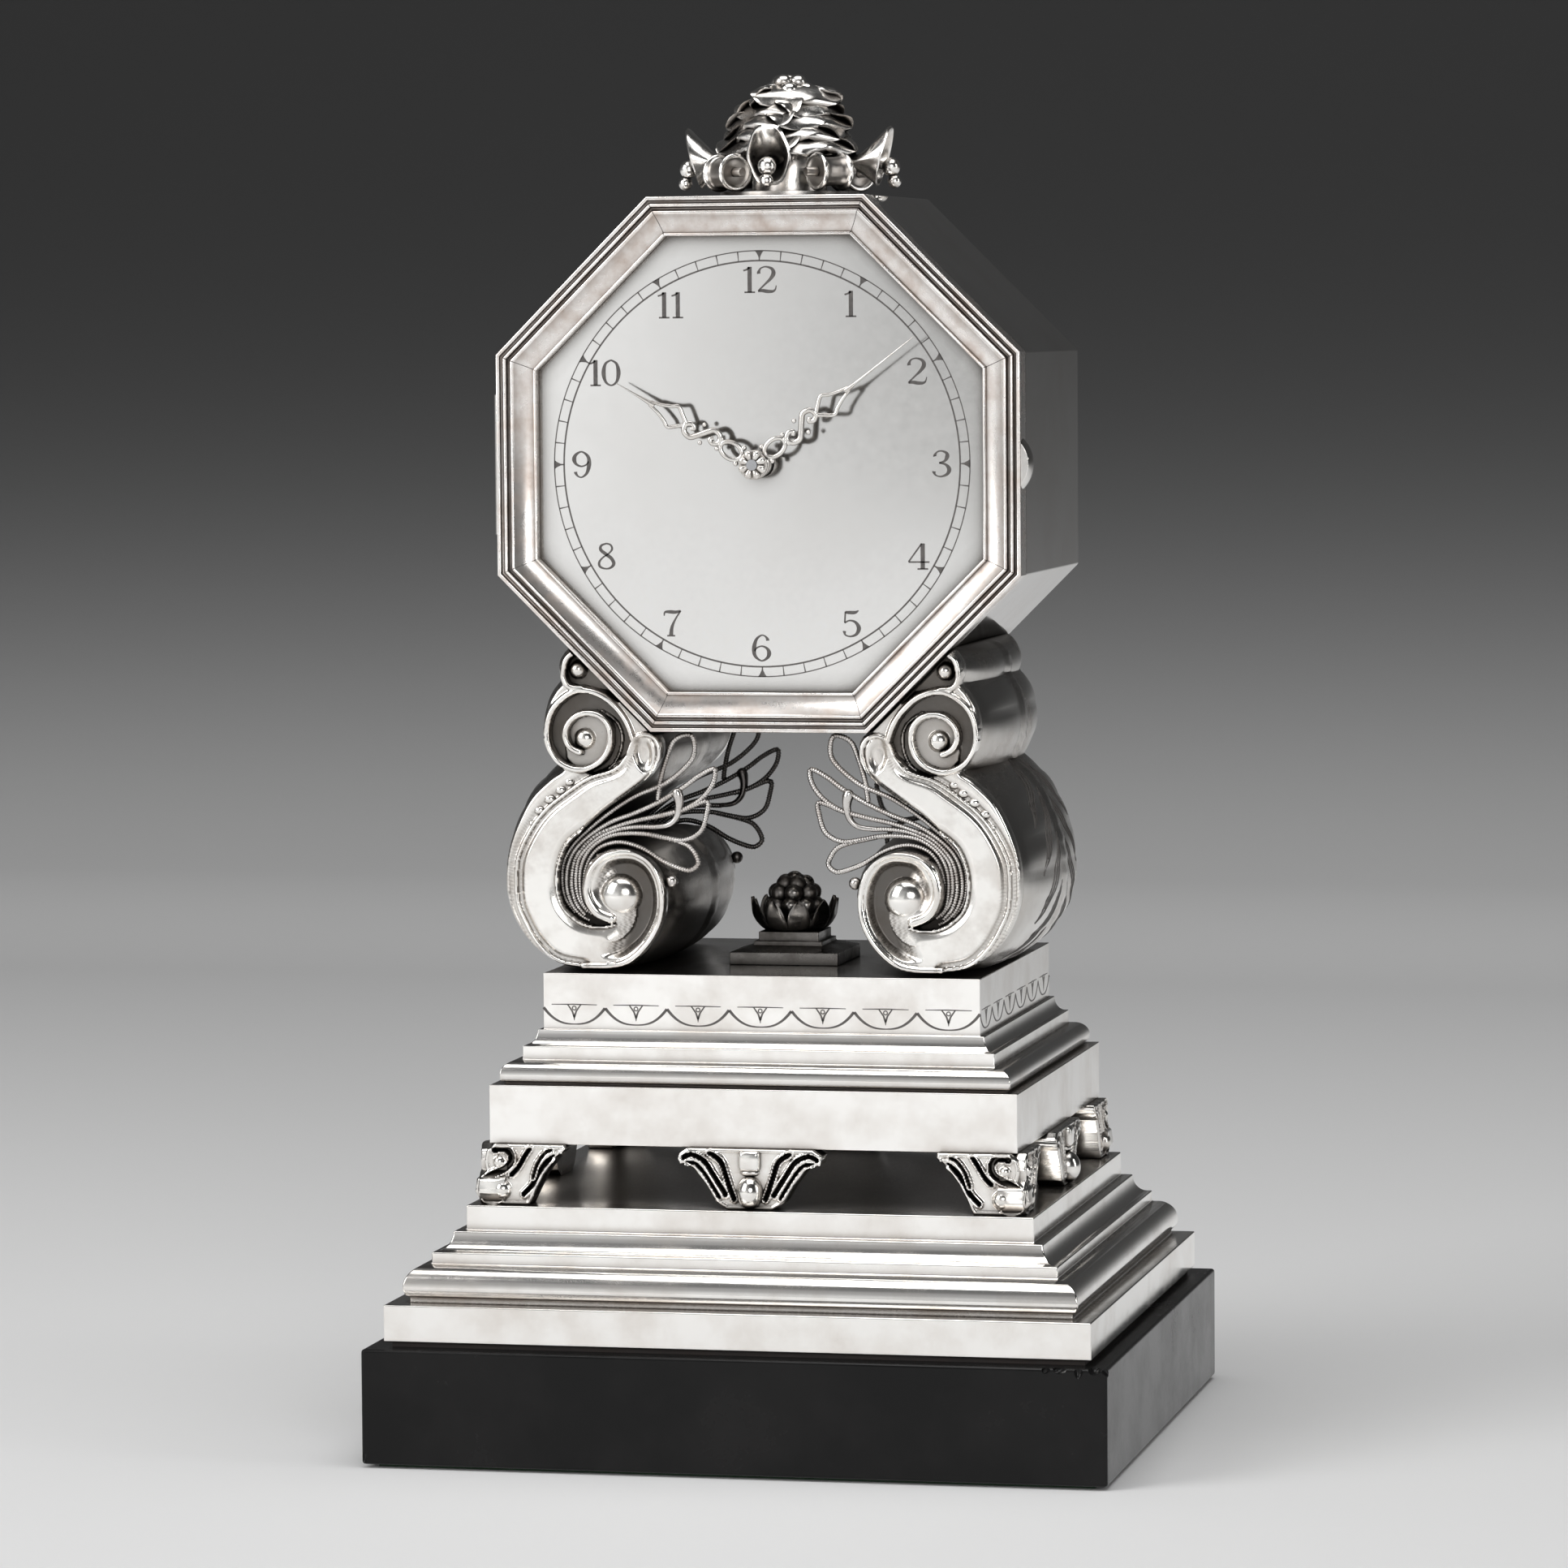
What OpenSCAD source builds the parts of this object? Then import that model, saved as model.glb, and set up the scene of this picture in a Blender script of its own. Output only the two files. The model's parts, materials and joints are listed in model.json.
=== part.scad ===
// Octagonal table clock on scrolled legs, standing on two moulded plinths and a stone base.
// X runs to the right, Y to the back and Z up; the origin is the middle of the underside.

/* [Base and tiers] */
// How much wider the stone base is than the bottom slab
base_out = 8; // [2:0.5:30]
// Height of the stone base
base_h = 24.5; // [18:0.5:34]
// How much less deep than wide every tier is
depth_less = 12.4; // [6:0.2:24]
// Thickness of the felt under the stone
felt_t = 0.8; // [0.5:0.1:2]
// How far the felt stays inside the edge of the stone
felt_inset = 3; // [1:0.5:8]
// Thickness of the leather sheet between stone and lower plinth
leather_t = 1.1; // [0.6:0.1:2]
// Rounding of the stone's edges
stone_edge = 0.9; // [0.4:0.1:2]
// Rounding of the silver slabs' edges
slab_edge = 0.5; // [0.2:0.1:1]

/* [Lower plinth] */
// How much wider the bottom slab is than the lower quarter round
slab1_out = 6.6; // [2:0.2:14]
// Height of the bottom slab
slab1_h = 7.9; // [5:0.1:12]
// How much wider the lower quarter round is than the lower fillet
ovolo1_out = 10.2; // [6:0.2:14]
// Height of the recess under the lower quarter round
neck1_h = 1.7; // [0.8:0.1:3]
// Height of the lower quarter round
ovolo1_h = 6.1; // [4:0.1:9]
// How much wider the lower fillet is than the top of the lower cavetto
fillet1_out = 7.6; // [4:0.2:11]
// Height of the lower fillet
fillet1_h = 2.5; // [1:0.1:5]
// Height of the lower cavetto
cavetto1_h = 4.1; // [2:0.1:7]
// How much wider the top of the lower cavetto is than the slab on it
cavetto1_out = 4.6; // [1:0.2:7]
// How much wider the top slab of the lower plinth is than the big slab above the feet
slab2_out = 8.4; // [6:0.2:12]
// Height of the top slab of the lower plinth
slab2_h = 5.3; // [3:0.1:9]

/* [Upper plinth] */
// Height of the feet between the plinths
foot_h = 12.9; // [9:0.1:18]
// How much wider the big slab is than the upper quarter round
slab3_out = 3.6; // [2:0.2:8]
// Height of the big slab
slab3_h = 12.5; // [9:0.1:18]
// How much wider the upper quarter round is than the upper fillet
ovolo2_out = 8.2; // [5:0.2:11]
// Height of the recess under the upper quarter round
neck2_h = 0.6; // [0.4:0.1:2]
// Height of the upper quarter round
ovolo2_h = 4.3; // [3:0.1:6]
// How much wider the upper fillet is than the top of the upper cavetto
fillet2_out = 5.4; // [3:0.2:8]
// Height of the upper fillet
fillet2_h = 2.9; // [1.5:0.1:5]
// Height of the upper cavetto
cavetto2_h = 3.3; // [2:0.1:5]
// How much wider the top of the upper cavetto is than the top block
cavetto2_out = 2.1; // [1:0.1:4]
// Width of the top block
slab4_w = 95.3; // [90:0.1:104]
// Height of the top block
slab4_h = 12.1; // [9:0.1:18]
// Wall of the hollow plinths
plinth_wall = 2; // [1.2:0.1:3]

/* [Legs] */
// Height of the legs, from the plinth to the flat under the case
leg_h = 51.95; // [46:0.5:60]
// How far each leg reaches out beyond the side of the top block
leg_over = 8.35; // [5:0.05:13]
// Depth of a leg over its two faces
leg_depth = 67.6; // [58:0.5:70]
// How far the legs swell between their faces
leg_swell = 3.6; // [1:0.1:5]
// Depth of the hollow channels in the faces
channel_deep = 3.2; // [2:0.1:4]
// Height of the raised rims above the bands
rim_proud = 0.7; // [0.3:0.1:1.5]
// Width of the raised rims
rim_w = 1.3; // [0.8:0.1:2]
// Radius of the upper volutes
volute_r = 9.6; // [8:0.1:11]
// Radius of the ball in the lower volute
ball_r = 4.2; // [3:0.1:4.8]
// Radius of the small disc at the top of a leg
disc_r = 3.6; // [2.8:0.1:4.4]
// Thickness of the wire in the open sprays
wire_t = 1.15; // [0.9:0.05:1.4]

/* [Case] */
// Distance from the middle of the dial to each side of the octagon
case_apothem = 56.85; // [54:0.25:60]
// Depth of the case behind the bezel
case_depth = 64.1; // [50:0.5:70]
// Wall of the case
case_wall = 1.6; // [1:0.1:2.5]
// Depth of the bezel
bezel_depth = 6.5; // [5:0.1:9]
// Width of the bezel's face
bezel_face = 8.4; // [7:0.1:10]
// Gap between the closed bezel and the case
door_gap = 0.3; // [0.2:0.05:0.6]
// How far the dial lies behind the face of the bezel
dial_back = 4.8; // [3.5:0.1:6]
// Thickness of the dial
dial_t = 1; // [0.6:0.1:1.5]
// How far the case and legs stand in front of the middle of the base
stand_front = 6.15; // [0:0.05:7]
// Length of the thumb piece on the bezel
thumb_l = 10.7; // [8:0.1:14]
// How far the thumb piece stands out
thumb_out = 2.2; // [1.2:0.1:2.6]

/* [Hands] */
// Length of the minute hand
minute_hand_l = 43.8; // [36:0.2:44]
// Length of the hour hand
hour_hand_l = 34.8; // [28:0.2:38]
// Thickness of the hands
hand_t = 0.7; // [0.4:0.1:1]
// Angle of the minute hand, clockwise from twelve
minute_angle = 52.3; // [0:0.1:360]
// Angle of the hour hand, clockwise from twelve
hour_angle = 300; // [0:0.1:360]
// Height of the hour hand above the dial
hour_hand_up = 6; // [4:0.1:8]
// Gap between the two hands
hand_gap = 1.1; // [0.6:0.1:2]

/* [Finial] */
// Height of the finial above the case
finial_h = 26.6; // [20:0.2:32]
// Radius of the scaled cone at its foot
cone_r = 14; // [11:0.2:16]
// How far the four leaves reach from the middle
leaf_reach = 22.4; // [19:0.2:24]

/* [Movement] */
// Radius of the movement's plates
plate_r = 38; // [37:0.5:42]
// Thickness of the movement's plates
plate_t = 2; // [1.5:0.1:2.5]
// Space between the plates
plate_gap = 12; // [11:0.5:14]
// Module of the going train
train_module = 0.4; // [0.38:0.01:0.42]
// Module of the wheels behind the dial
motion_module = 0.5; // [0.48:0.01:0.52]

/* [Hidden] */
$fn = 48;

silver = [0.78, 0.77, 0.74];
oxide = [0.22, 0.2, 0.19];
brass = [0.8, 0.64, 0.33];
steel = [0.55, 0.56, 0.58];

// One length by which every cut runs past the face it opens
over = 1;
// Radial clearance of a shaft that turns in a hole, and of a screw in its hole
fit = 0.05;
// Clearance between turning pieces that do not bear on each other
free = 0.3;

// Widths of the tiers, from the top block downwards
cavetto2_w = slab4_w + cavetto2_out;
fillet2_w = cavetto2_w + fillet2_out;
ovolo2_w = fillet2_w + ovolo2_out;
slab3_w = ovolo2_w + slab3_out;
slab2_w = slab3_w + slab2_out;
cavetto1_w = slab2_w + cavetto1_out;
fillet1_w = cavetto1_w + fillet1_out;
ovolo1_w = fillet1_w + ovolo1_out;
slab1_w = ovolo1_w + slab1_out;
base_w = slab1_w + base_out;
// Reach of the legs from the middle
leg_reach = slab4_w / 2 + leg_over;

// Heights of the faces, from the underside upwards
stone_z = felt_t;
leather_z = stone_z + base_h;
low_z = leather_z + leather_t;
slab1_top = low_z + slab1_h;
ovolo1_z = slab1_top + neck1_h;
fillet1_z = ovolo1_z + ovolo1_h;
cavetto1_z = fillet1_z + fillet1_h;
slab2_z = cavetto1_z + cavetto1_h;
low_top = slab2_z + slab2_h;
up_z = low_top + foot_h;
slab3_top = up_z + slab3_h;
ovolo2_z = slab3_top + neck2_h;
fillet2_z = ovolo2_z + ovolo2_h;
cavetto2_z = fillet2_z + fillet2_h;
slab4_z = cavetto2_z + cavetto2_h;
up_top = slab4_z + slab4_h;
case_z = up_top + leg_h;
dial_z = case_z + case_apothem;
case_top = dial_z + case_apothem;

// Depth planes of the case, from the bezel's face to the back
mid_y = -stand_front;
full_depth = bezel_depth + door_gap + case_depth;
bezel_y = mid_y - full_depth / 2;
dial_y = bezel_y + dial_back;
dial_rear = dial_y + dial_t;
bezel_rear = bezel_y + bezel_depth;
case_y = bezel_rear + door_gap;
case_rear = case_y + case_depth;
octagon_turn = 180 / 8;
octagon_k = 1 / cos(octagon_turn);

// Smooth curve through points, open and closed
function knot(a, b, c, d, t) = (2 * b + (c - a) * t + (2 * a - 5 * b + 4 * c - d) * t * t
  + (3 * b - a - 3 * c + d) * t * t * t) / 2;
function curve(p, n) = concat([for (i = [0:len(p) - 2], j = [0:n - 1])
  knot(p[max(i - 1, 0)], p[i], p[i + 1], p[min(i + 2, len(p) - 1)], j / n)], [p[len(p) - 1]]);
function ring_curve(p, n) = let (k = len(p)) [for (i = [0:k - 1], j = [0:n - 1])
  knot(p[(i + k - 1) % k], p[i], p[(i + 1) % k], p[(i + 2) % k], j / n)];
// Unit normal on the left of a plane path at point i
function left_of(p, i) = let (d = p[min(i + 1, len(p) - 1)] - p[max(i - 1, 0)]) [-d.y, d.x] / norm(d);
// Outline of a strip along a plane path, whose half width runs from w0 to w1
function strip(p, w0, w1) = let (n = len(p) - 1) concat(
  [for (i = [0:n]) p[i] - left_of(p, i) * (w0 + (w1 - w0) * i / n)],
  [for (i = [n:-1:0]) p[i] + left_of(p, i) * (w0 + (w1 - w0) * i / n)]);
// Triangles that fill a clockwise plane outline p, cut off it one corner at a time; v lists the corners left
function inside(q, a, b, c) = cross(b - a, q - a) <= 0 && cross(c - b, q - b) <= 0 && cross(a - c,
  q - c) <= 0;
function is_ear(p, v, i) = let (n = len(v), a = p[v[(i + n - 1) % n]], b = p[v[i]], c = p[v[(i + 1) % n]])
  cross(b - a, c - b) < 0
  && len([for (k = v) if (p[k] != a && p[k] != b && p[k] != c && inside(p[k], a, b, c)) k]) == 0;
function first_ear(p, v, i) = i >= len(v) || is_ear(p, v, i) ? i : first_ear(p, v, i + 1);
function fill(p, v, made = []) = len(v) < 3 ? made : let (i = first_ear(p, v, 0), n = len(v))
  fill(p, [for (k = [1:n - 1]) v[(i + k) % n]], concat(made, [[v[(i + n - 1) % n], v[i], v[(i + 1) % n]]]));
// Closed skin over rings of points, all with the same count, that run clockwise seen from the first ring
module skin(rings, caps = []) {
  n = len(rings[0]);
  m = len(rings);
  front = len(caps) > 0 ? caps : [[for (i = [0:n - 1]) i]];
  polyhedron(points = [for (r = rings, p = r) p], faces = concat(
    front, [for (f = front) [for (i = [len(f) - 1:-1:0]) (m - 1) * n + f[i]]],
    [for (j = [0:m - 2], i = [0:n - 1]) [j * n + i, (j + 1) * n + i, (j + 1) * n + (i + 1) % n]],
    [for (j = [0:m - 2], i = [0:n - 1]) [j * n + i, (j + 1) * n + (i + 1) % n, j * n + (i + 1) % n]]));
}
// Round wire along a path that never runs straight along Y
function wire_ring(p, i, r, sides) = let (d = p[min(i + 1, len(p) - 1)] - p[max(i - 1, 0)],
  t = d / norm(d), s0 = cross(t, [0, 1, 0]), s = s0 / norm(s0), u = cross(t, s))
  [for (k = [0:sides - 1]) p[i] + (s * cos(360 * k / sides) + u * sin(360 * k / sides)) * r];
module wire(p, r, sides) skin([for (i = [0:len(p) - 1]) wire_ring(p, i, r, sides)]);
// Upright outline: x and z of the drawing stay x and z, thickness runs back from y0 to y1
module slice(y0, y1) translate([0, y1, 0]) rotate([90, 0, 0]) linear_extrude(height = y1 - y0) children();
// Round bar along Y from y0 to y1 at x, z
module bar(x, z, y0, y1, r) translate([x, y1, z]) rotate([90, 0, 0]) cylinder(r = r, h = y1 - y0);
// Octagonal bar with flats up, round the middle of the dial
module octagon_bar(apothem, y0, y1) translate([0, y1, dial_z]) rotate([90, 0, 0])
  rotate(octagon_turn) cylinder(r = apothem * octagon_k, h = y1 - y0, $fn = 8);

// Rectangular tier: rows of [half width, height], the depth less by a fixed amount
function side_view(rows, less) = concat([for (r = rows) [r[0] - less, r[1]]],
  [for (i = [len(rows) - 1:-1:0]) [-(rows[i][0] - less), rows[i][1]]]);
module tier(rows, reach) intersection() {
  slice(-reach, reach) polygon(side_view(rows, 0));
  rotate(90) slice(-reach, reach) polygon(side_view(rows, depth_less / 2));
}
function block_rows(w, z0, z1, edge) = [[w / 2 - edge, z0], [w / 2, z0 + edge],
  [w / 2, z1 - edge], [w / 2 - edge, z1]];
// Quarter round that starts with a short undercut, then curves in to the fillet
moulding_steps = 7;
undercut_share = 0.22;
function ovolo_rows(w, w_in, z0, z1) = let (low = (z1 - z0) * undercut_share, d = (w - w_in) / 2) concat(
  [for (i = [0:2]) [w / 2 - low * (1 - sin(45 * i)), z0 + low * (1 - cos(45 * i))]],
  [for (i = [1:moulding_steps]) [w_in / 2 + d * cos(90 * i / moulding_steps),
    z0 + low + (z1 - z0 - low) * sin(90 * i / moulding_steps)]]);
function cavetto_rows(w, w_in, z0, z1) = [for (i = [0:moulding_steps])
  [w / 2 - (w - w_in) / 2 * sin(90 * i / moulding_steps),
    z0 + (z1 - z0) * (1 - cos(90 * i / moulding_steps))]];
neck_in = 2.2;
lower_rows = concat(block_rows(slab1_w, low_z, slab1_top, slab_edge),
  [[ovolo1_w / 2 - neck_in, slab1_top], [ovolo1_w / 2 - neck_in, ovolo1_z]],
  ovolo_rows(ovolo1_w, fillet1_w, ovolo1_z, fillet1_z), [[fillet1_w / 2, cavetto1_z]],
  cavetto_rows(fillet1_w - slab_edge, cavetto1_w, cavetto1_z, slab2_z),
  block_rows(slab2_w, slab2_z, low_top, slab_edge));
upper_rows = concat(block_rows(slab3_w, up_z, slab3_top, slab_edge),
  [[ovolo2_w / 2 - neck_in, slab3_top], [ovolo2_w / 2 - neck_in, ovolo2_z]],
  ovolo_rows(ovolo2_w, fillet2_w, ovolo2_z, fillet2_z), [[fillet2_w / 2, cavetto2_z]],
  cavetto_rows(fillet2_w - slab_edge, cavetto2_w, cavetto2_z, slab4_z),
  block_rows(slab4_w, slab4_z, up_top, slab_edge));
module box_at(w, d, z0, z1) translate([-w / 2, -d / 2, z0]) cube([w, d, z1 - z0]);
// Wooden cores that fill the two silver shells
lower_core_w = slab2_w - 2 * plinth_wall;
upper_core_w = slab4_w - 2 * plinth_wall;
module lower_core_block(grow) box_at(lower_core_w, lower_core_w - depth_less, low_z - grow,
  low_top - plinth_wall);
module upper_core_block() box_at(upper_core_w, upper_core_w - depth_less, up_z + plinth_wall,
  up_top - plinth_wall);

// Screws up through the stone into the lower core
base_screw_r = 2;
base_screw_head_r = 4;
base_screw_head_h = 3;
base_screw_x = slab2_w / 2 - 4 * base_screw_head_r;
base_screw_top = low_z + slab1_h + neck1_h;
module base_screw_set(grow, below) for (x = [-1, 1], y = [-1, 1])
  translate([x * base_screw_x, y * (base_screw_x - depth_less / 2), 0]) {
    translate([0, 0, stone_z - below]) cylinder(r = base_screw_head_r + grow,
      h = base_screw_head_h + below);
    translate([0, 0, stone_z]) cylinder(r = base_screw_r + grow, h = base_screw_top - stone_z);
  }
module felt_underlay() color([0.12, 0.2, 0.14]) box_at(base_w - 2 * felt_inset,
  base_w - depth_less - 2 * felt_inset, 0, felt_t);
module stone_base() color([0.04, 0.04, 0.05]) difference() {
  tier(block_rows(base_w, stone_z, leather_z, stone_edge), base_w);
  base_screw_set(fit, over);
}
leather_inset = 1.5;
module leather_sheet() color([0.1, 0.07, 0.05]) difference() {
  box_at(slab1_w - 2 * leather_inset, slab1_w - depth_less - 2 * leather_inset, leather_z, low_z);
  base_screw_set(fit, over);
}
module lower_plinth() color(silver) difference() {
  tier(lower_rows, slab1_w);
  lower_core_block(over);
}
module lower_core() color([0.5, 0.36, 0.2]) difference() {
  lower_core_block(0);
  base_screw_set(fit, over);
}

// Screws up through the upper plinth into the legs
leg_screw_r = 1.4;
leg_screw_head_r = 2.8;
leg_screw_head_h = 1.8;
leg_screw_in = 9.57;
leg_screw_x = slab4_w / 2 - leg_screw_in;
leg_screw_y = leg_depth * 0.25;
leg_screw_top = up_top + ball_r * 1.4;
module leg_screw_set(grow) for (x = [-1, 1], y = [-1, 1]) translate([x * leg_screw_x,
  mid_y + y * leg_screw_y, 0]) {
  translate([0, 0, up_z - leg_screw_head_h]) cylinder(r = leg_screw_head_r, h = leg_screw_head_h);
  translate([0, 0, up_z - leg_screw_head_h]) cylinder(r = leg_screw_r + grow,
    h = leg_screw_top - up_z + leg_screw_head_h);
}
module upper_plinth() color(silver) difference() {
  tier(upper_rows, slab3_w);
  upper_core_block();
  leg_screw_set(fit);
}
module upper_core() color([0.5, 0.36, 0.2]) difference() {
  upper_core_block();
  leg_screw_set(fit);
}
module screws() color(steel) {
  base_screw_set(0, 0);
  leg_screw_set(0);
}

// Corner foot: two scrolled plates that meet at the corner, widths and heights as shares
foot_reach = 20;
foot_t = 5;
foot_out = 1.4;
foot_corner = 2.9;
foot_shares = [[0.09, 0], [0.0, 0.2], [0.02, 0.42], [0.13, 0.56], [0.11, 0.72], [0.13, 0.9], [0.21, 1],
  [0.98, 1], [1, 0.93], [0.9, 0.79], [0.76, 0.5], [0.66, 0.2], [0.6, 0]];
foot_rib_shares = [[0.64, 0.08], [0.7, 0.26], [0.8, 0.54], [0.92, 0.84]];
foot_rib2_shares = [[0.46, 0.08], [0.52, 0.3], [0.62, 0.62], [0.74, 0.94]];
foot_rib_w = 0.7;
foot_rib_out = 0.6;
foot_eye_r = 1.7;
function foot_pts(s) = [for (p = s) [p[0] * foot_reach, low_top + p[1] * foot_h]];
// Plate of one face: u runs in from the corner, the face looks to -Y at y = 0
module foot_plate() {
  slice(0, foot_t) polygon(foot_pts(foot_shares));
  slice(-foot_rib_out, 0) {
    polygon(strip(curve(foot_pts(foot_rib_shares), 4), foot_rib_w, foot_rib_w));
    polygon(strip(curve(foot_pts(foot_rib2_shares), 4), foot_rib_w, foot_rib_w));
    for (e = [[0.24, 0.74, 0.25], [0.27, 0.27, 0.27]]) translate([e[0] * foot_reach,
      low_top + e[1] * foot_h])
      difference() {
        circle(r = e[2] * foot_h);
        circle(r = e[2] * foot_h - foot_rib_w);
      }
  }
  for (e = [[0.24, 0.74, 0.8], [0.27, 0.27, 1]]) translate([e[0] * foot_reach, 0, low_top + e[1] * foot_h])
    sphere(r = e[2] * foot_eye_r, $fn = 24);
}
module corner_foot(sx, sy) color(silver) mirror([sx < 0 ? 0 : 1, 0, 0]) mirror([0, sy < 0 ? 0 : 1, 0])
  translate([-(slab3_w / 2 + foot_corner), -(slab3_w / 2 + foot_corner - depth_less / 2), 0]) {
    translate([0, foot_corner - foot_out, 0]) foot_plate();
    mirror([1, -1, 0]) translate([0, foot_corner - foot_out, 0]) foot_plate();
  }
module corner_foot_front_left() corner_foot(-1, -1);
module corner_foot_front_right() corner_foot(1, -1);
module corner_foot_rear_left() corner_foot(-1, 1);
module corner_foot_rear_right() corner_foot(1, 1);

// Middle foot: a spreading lily with a square bead above a ball
mid_foot_w = 30.8;
mid_shares = [[-0.16, 0], [-0.24, 0.12], [-0.31, 0.4], [-0.4, 0.68], [-0.5, 0.76], [-0.505, 0.9],
  [-0.44, 1]];
mid_rib_shares = [[[0.19, 0.09], [0.25, 0.3], [0.35, 0.66], [0.46, 0.86]],
  [[0.1, 0.05], [0.16, 0.36], [0.23, 0.7], [0.32, 0.96]]];
mid_bead_w = 4.6;
mid_ball_r = 3;
function mid_pts(s, k) = [for (p = s) [k * p[0] * mid_foot_w, low_top + p[1] * foot_h]];
module mid_foot(y) color(silver) translate([0, -y - foot_out, 0]) {
  slice(0, foot_t) polygon(concat(mid_pts(mid_shares, 1),
    [for (i = [len(mid_shares) - 1:-1:0]) mid_pts(mid_shares, -1)[i]]));
  slice(-foot_rib_out, 0) for (k = [-1, 1], s = mid_rib_shares)
    polygon(strip(curve(mid_pts(s, k), 4), foot_rib_w, foot_rib_w));
  translate([-mid_bead_w / 2, -mid_ball_r / 2, up_z - mid_bead_w]) cube([mid_bead_w, mid_ball_r,
    mid_bead_w]);
  translate([0, 0, low_top + mid_ball_r * 1.2]) sphere(r = mid_ball_r);
}
module mid_foot_front() mid_foot(slab3_w / 2 - depth_less / 2);
module mid_foot_rear() mirror([0, 1, 0]) mid_foot(slab3_w / 2 - depth_less / 2);
module mid_foot_left() rotate(-90) mid_foot(slab3_w / 2);
module mid_foot_right() rotate(90) mid_foot(slab3_w / 2);

// Leg: outline as shares of reach and height, with the share of the swell at each point
leg_shares = [[0.746, 0.516, 0], [0.7, 0.589, 0], [0.616, 0.67, 0.2], [0.518, 0.743, 0.4], [0.436,
  0.812, 0.5],
  [0.391, 0.885, 0.6], [0.382, 0.947, 0.6], [0.404, 0.993, 0.3], [0.464, 1.057, 0], [0.589, 1.199, 0],
  [0.688, 1.309, 0], [0.736, 1.347, 0], [0.779, 1.301, 0.8], [0.789, 1.251, 1], [0.779, 1.201, 1],
  [0.804, 1.166, 1], [0.836, 1.105, 1], [0.85, 1.028, 1], [0.841, 0.947, 1], [0.804, 0.878, 1],
  [0.777, 0.843, 1.1], [0.83, 0.801, 1], [0.904, 0.724, 1], [0.957, 0.62, 1], [0.991, 0.516, 1],
  [1.005, 0.412, 1], [0.998, 0.304, 1], [0.961, 0.198, 0.9], [0.893, 0.104, 0.7], [0.804, 0.04, 0.45],
  [0.714, 0.019, 0.3], [0.589, 0.017, 0.3], [0.504, 0.044, 0.45], [0.436, 0.11, 0.7], [0.391, 0.196, 0.9],
  [0.373, 0.296, 1], [0.388, 0.391, 1], [0.438, 0.468, 0.9], [0.511, 0.508, 0.6], [0.586, 0.514, 0.4],
  [0.657, 0.487, 0.1], [0.725, 0.481, 0]];
// Depth and swell of the rings from face to face, with a raised cord round the middle
leg_station_shares = [[0, 0], [0.1, 0.42], [0.25, 0.78], [0.47, 0.95], [0.48, 1.12], [0.52, 1.12],
  [0.53, 0.95],
  [0.75, 0.78], [0.9, 0.42], [1, 0]];
function leg_xz(s) = [s[0] * leg_reach, up_top + s[1] * leg_h];
function leg_path(t) = [for (s = t) leg_xz(s)];
leg_line = ring_curve([for (s = leg_shares) [s[0] * leg_reach, up_top + s[1] * leg_h,
  s[2] * leg_swell]], 2);
leg_n = len(leg_line);
function leg_out(i) = let (d = leg_line[(i + 1) % leg_n] - leg_line[(i + leg_n - 1) % leg_n],
  n = norm([d.x, d.y])) [-d.y, d.x] / n;
leg_face = mid_y - leg_depth / 2;
floor_y = leg_face + channel_deep;
floor_depth = leg_depth - 2 * channel_deep;
leg_rings = [for (s = leg_station_shares) [for (i = [0:leg_n - 1]) let (o = leg_out(i) * leg_line[i].z *
  s[1])
  [leg_line[i].x + o.x, floor_y + s[0] * floor_depth, leg_line[i].y + o.y]]];
leg_flat = [for (p = leg_line) [p.x, p.y]];
// Marks on the faces: centres and paths as shares of the same reach and height
volute_at = leg_xz([0.675, 1.009]);
inner_volute_at = leg_xz([0.68, 0.99]);
eye_at = leg_xz([0.5625, 0.333]);
disc_at = leg_xz([0.718, 1.257]);
trough_shares = [[0.71, 0.53], [0.748, 0.5], [0.772, 0.43], [0.772, 0.34], [0.742, 0.254], [0.688, 0.2],
  [0.634, 0.188]];
hollow_shares = [[0.425, 0.3], [0.441, 0.388], [0.497, 0.452], [0.575, 0.472], [0.645, 0.441], [0.692,
  0.381],
  [0.7, 0.303], [0.667, 0.24], [0.6, 0.214], [0.53, 0.186], [0.459, 0.206]];
rim_shares = [[0.72, 0.036], [0.6, 0.034], [0.48, 0.09], [0.408, 0.2], [0.39, 0.3], [0.41, 0.39], [0.47,
  0.468],
  [0.568, 0.499], [0.66, 0.464], [0.716, 0.39], [0.727, 0.305], [0.69, 0.232]];
tail_shares = [[0.62, 0.27], [0.672, 0.29], [0.69, 0.358], [0.655, 0.422], [0.58, 0.455], [0.5, 0.425]];
lobe_rim_shares = [[0.6, 0.71], [0.52, 0.765], [0.45, 0.823], [0.406, 0.885], [0.4, 0.94], [0.425, 0.978],
  [0.48, 0.985], [0.515, 0.95]];
outer_rim_shares = [[0.79, 0.83], [0.83, 0.785], [0.892, 0.715], [0.94, 0.615], [0.972, 0.515], [0.985,
  0.412],
  [0.978, 0.308], [0.943, 0.21], [0.88, 0.12], [0.8, 0.062], [0.72, 0.04]];
module ring_at(c, r) translate(c) difference() {
  circle(r = r);
  circle(r = r - rim_w);
}
inner_volute_r = volute_r * 0.58;
volute_eye_r = volute_r * 0.23;
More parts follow.
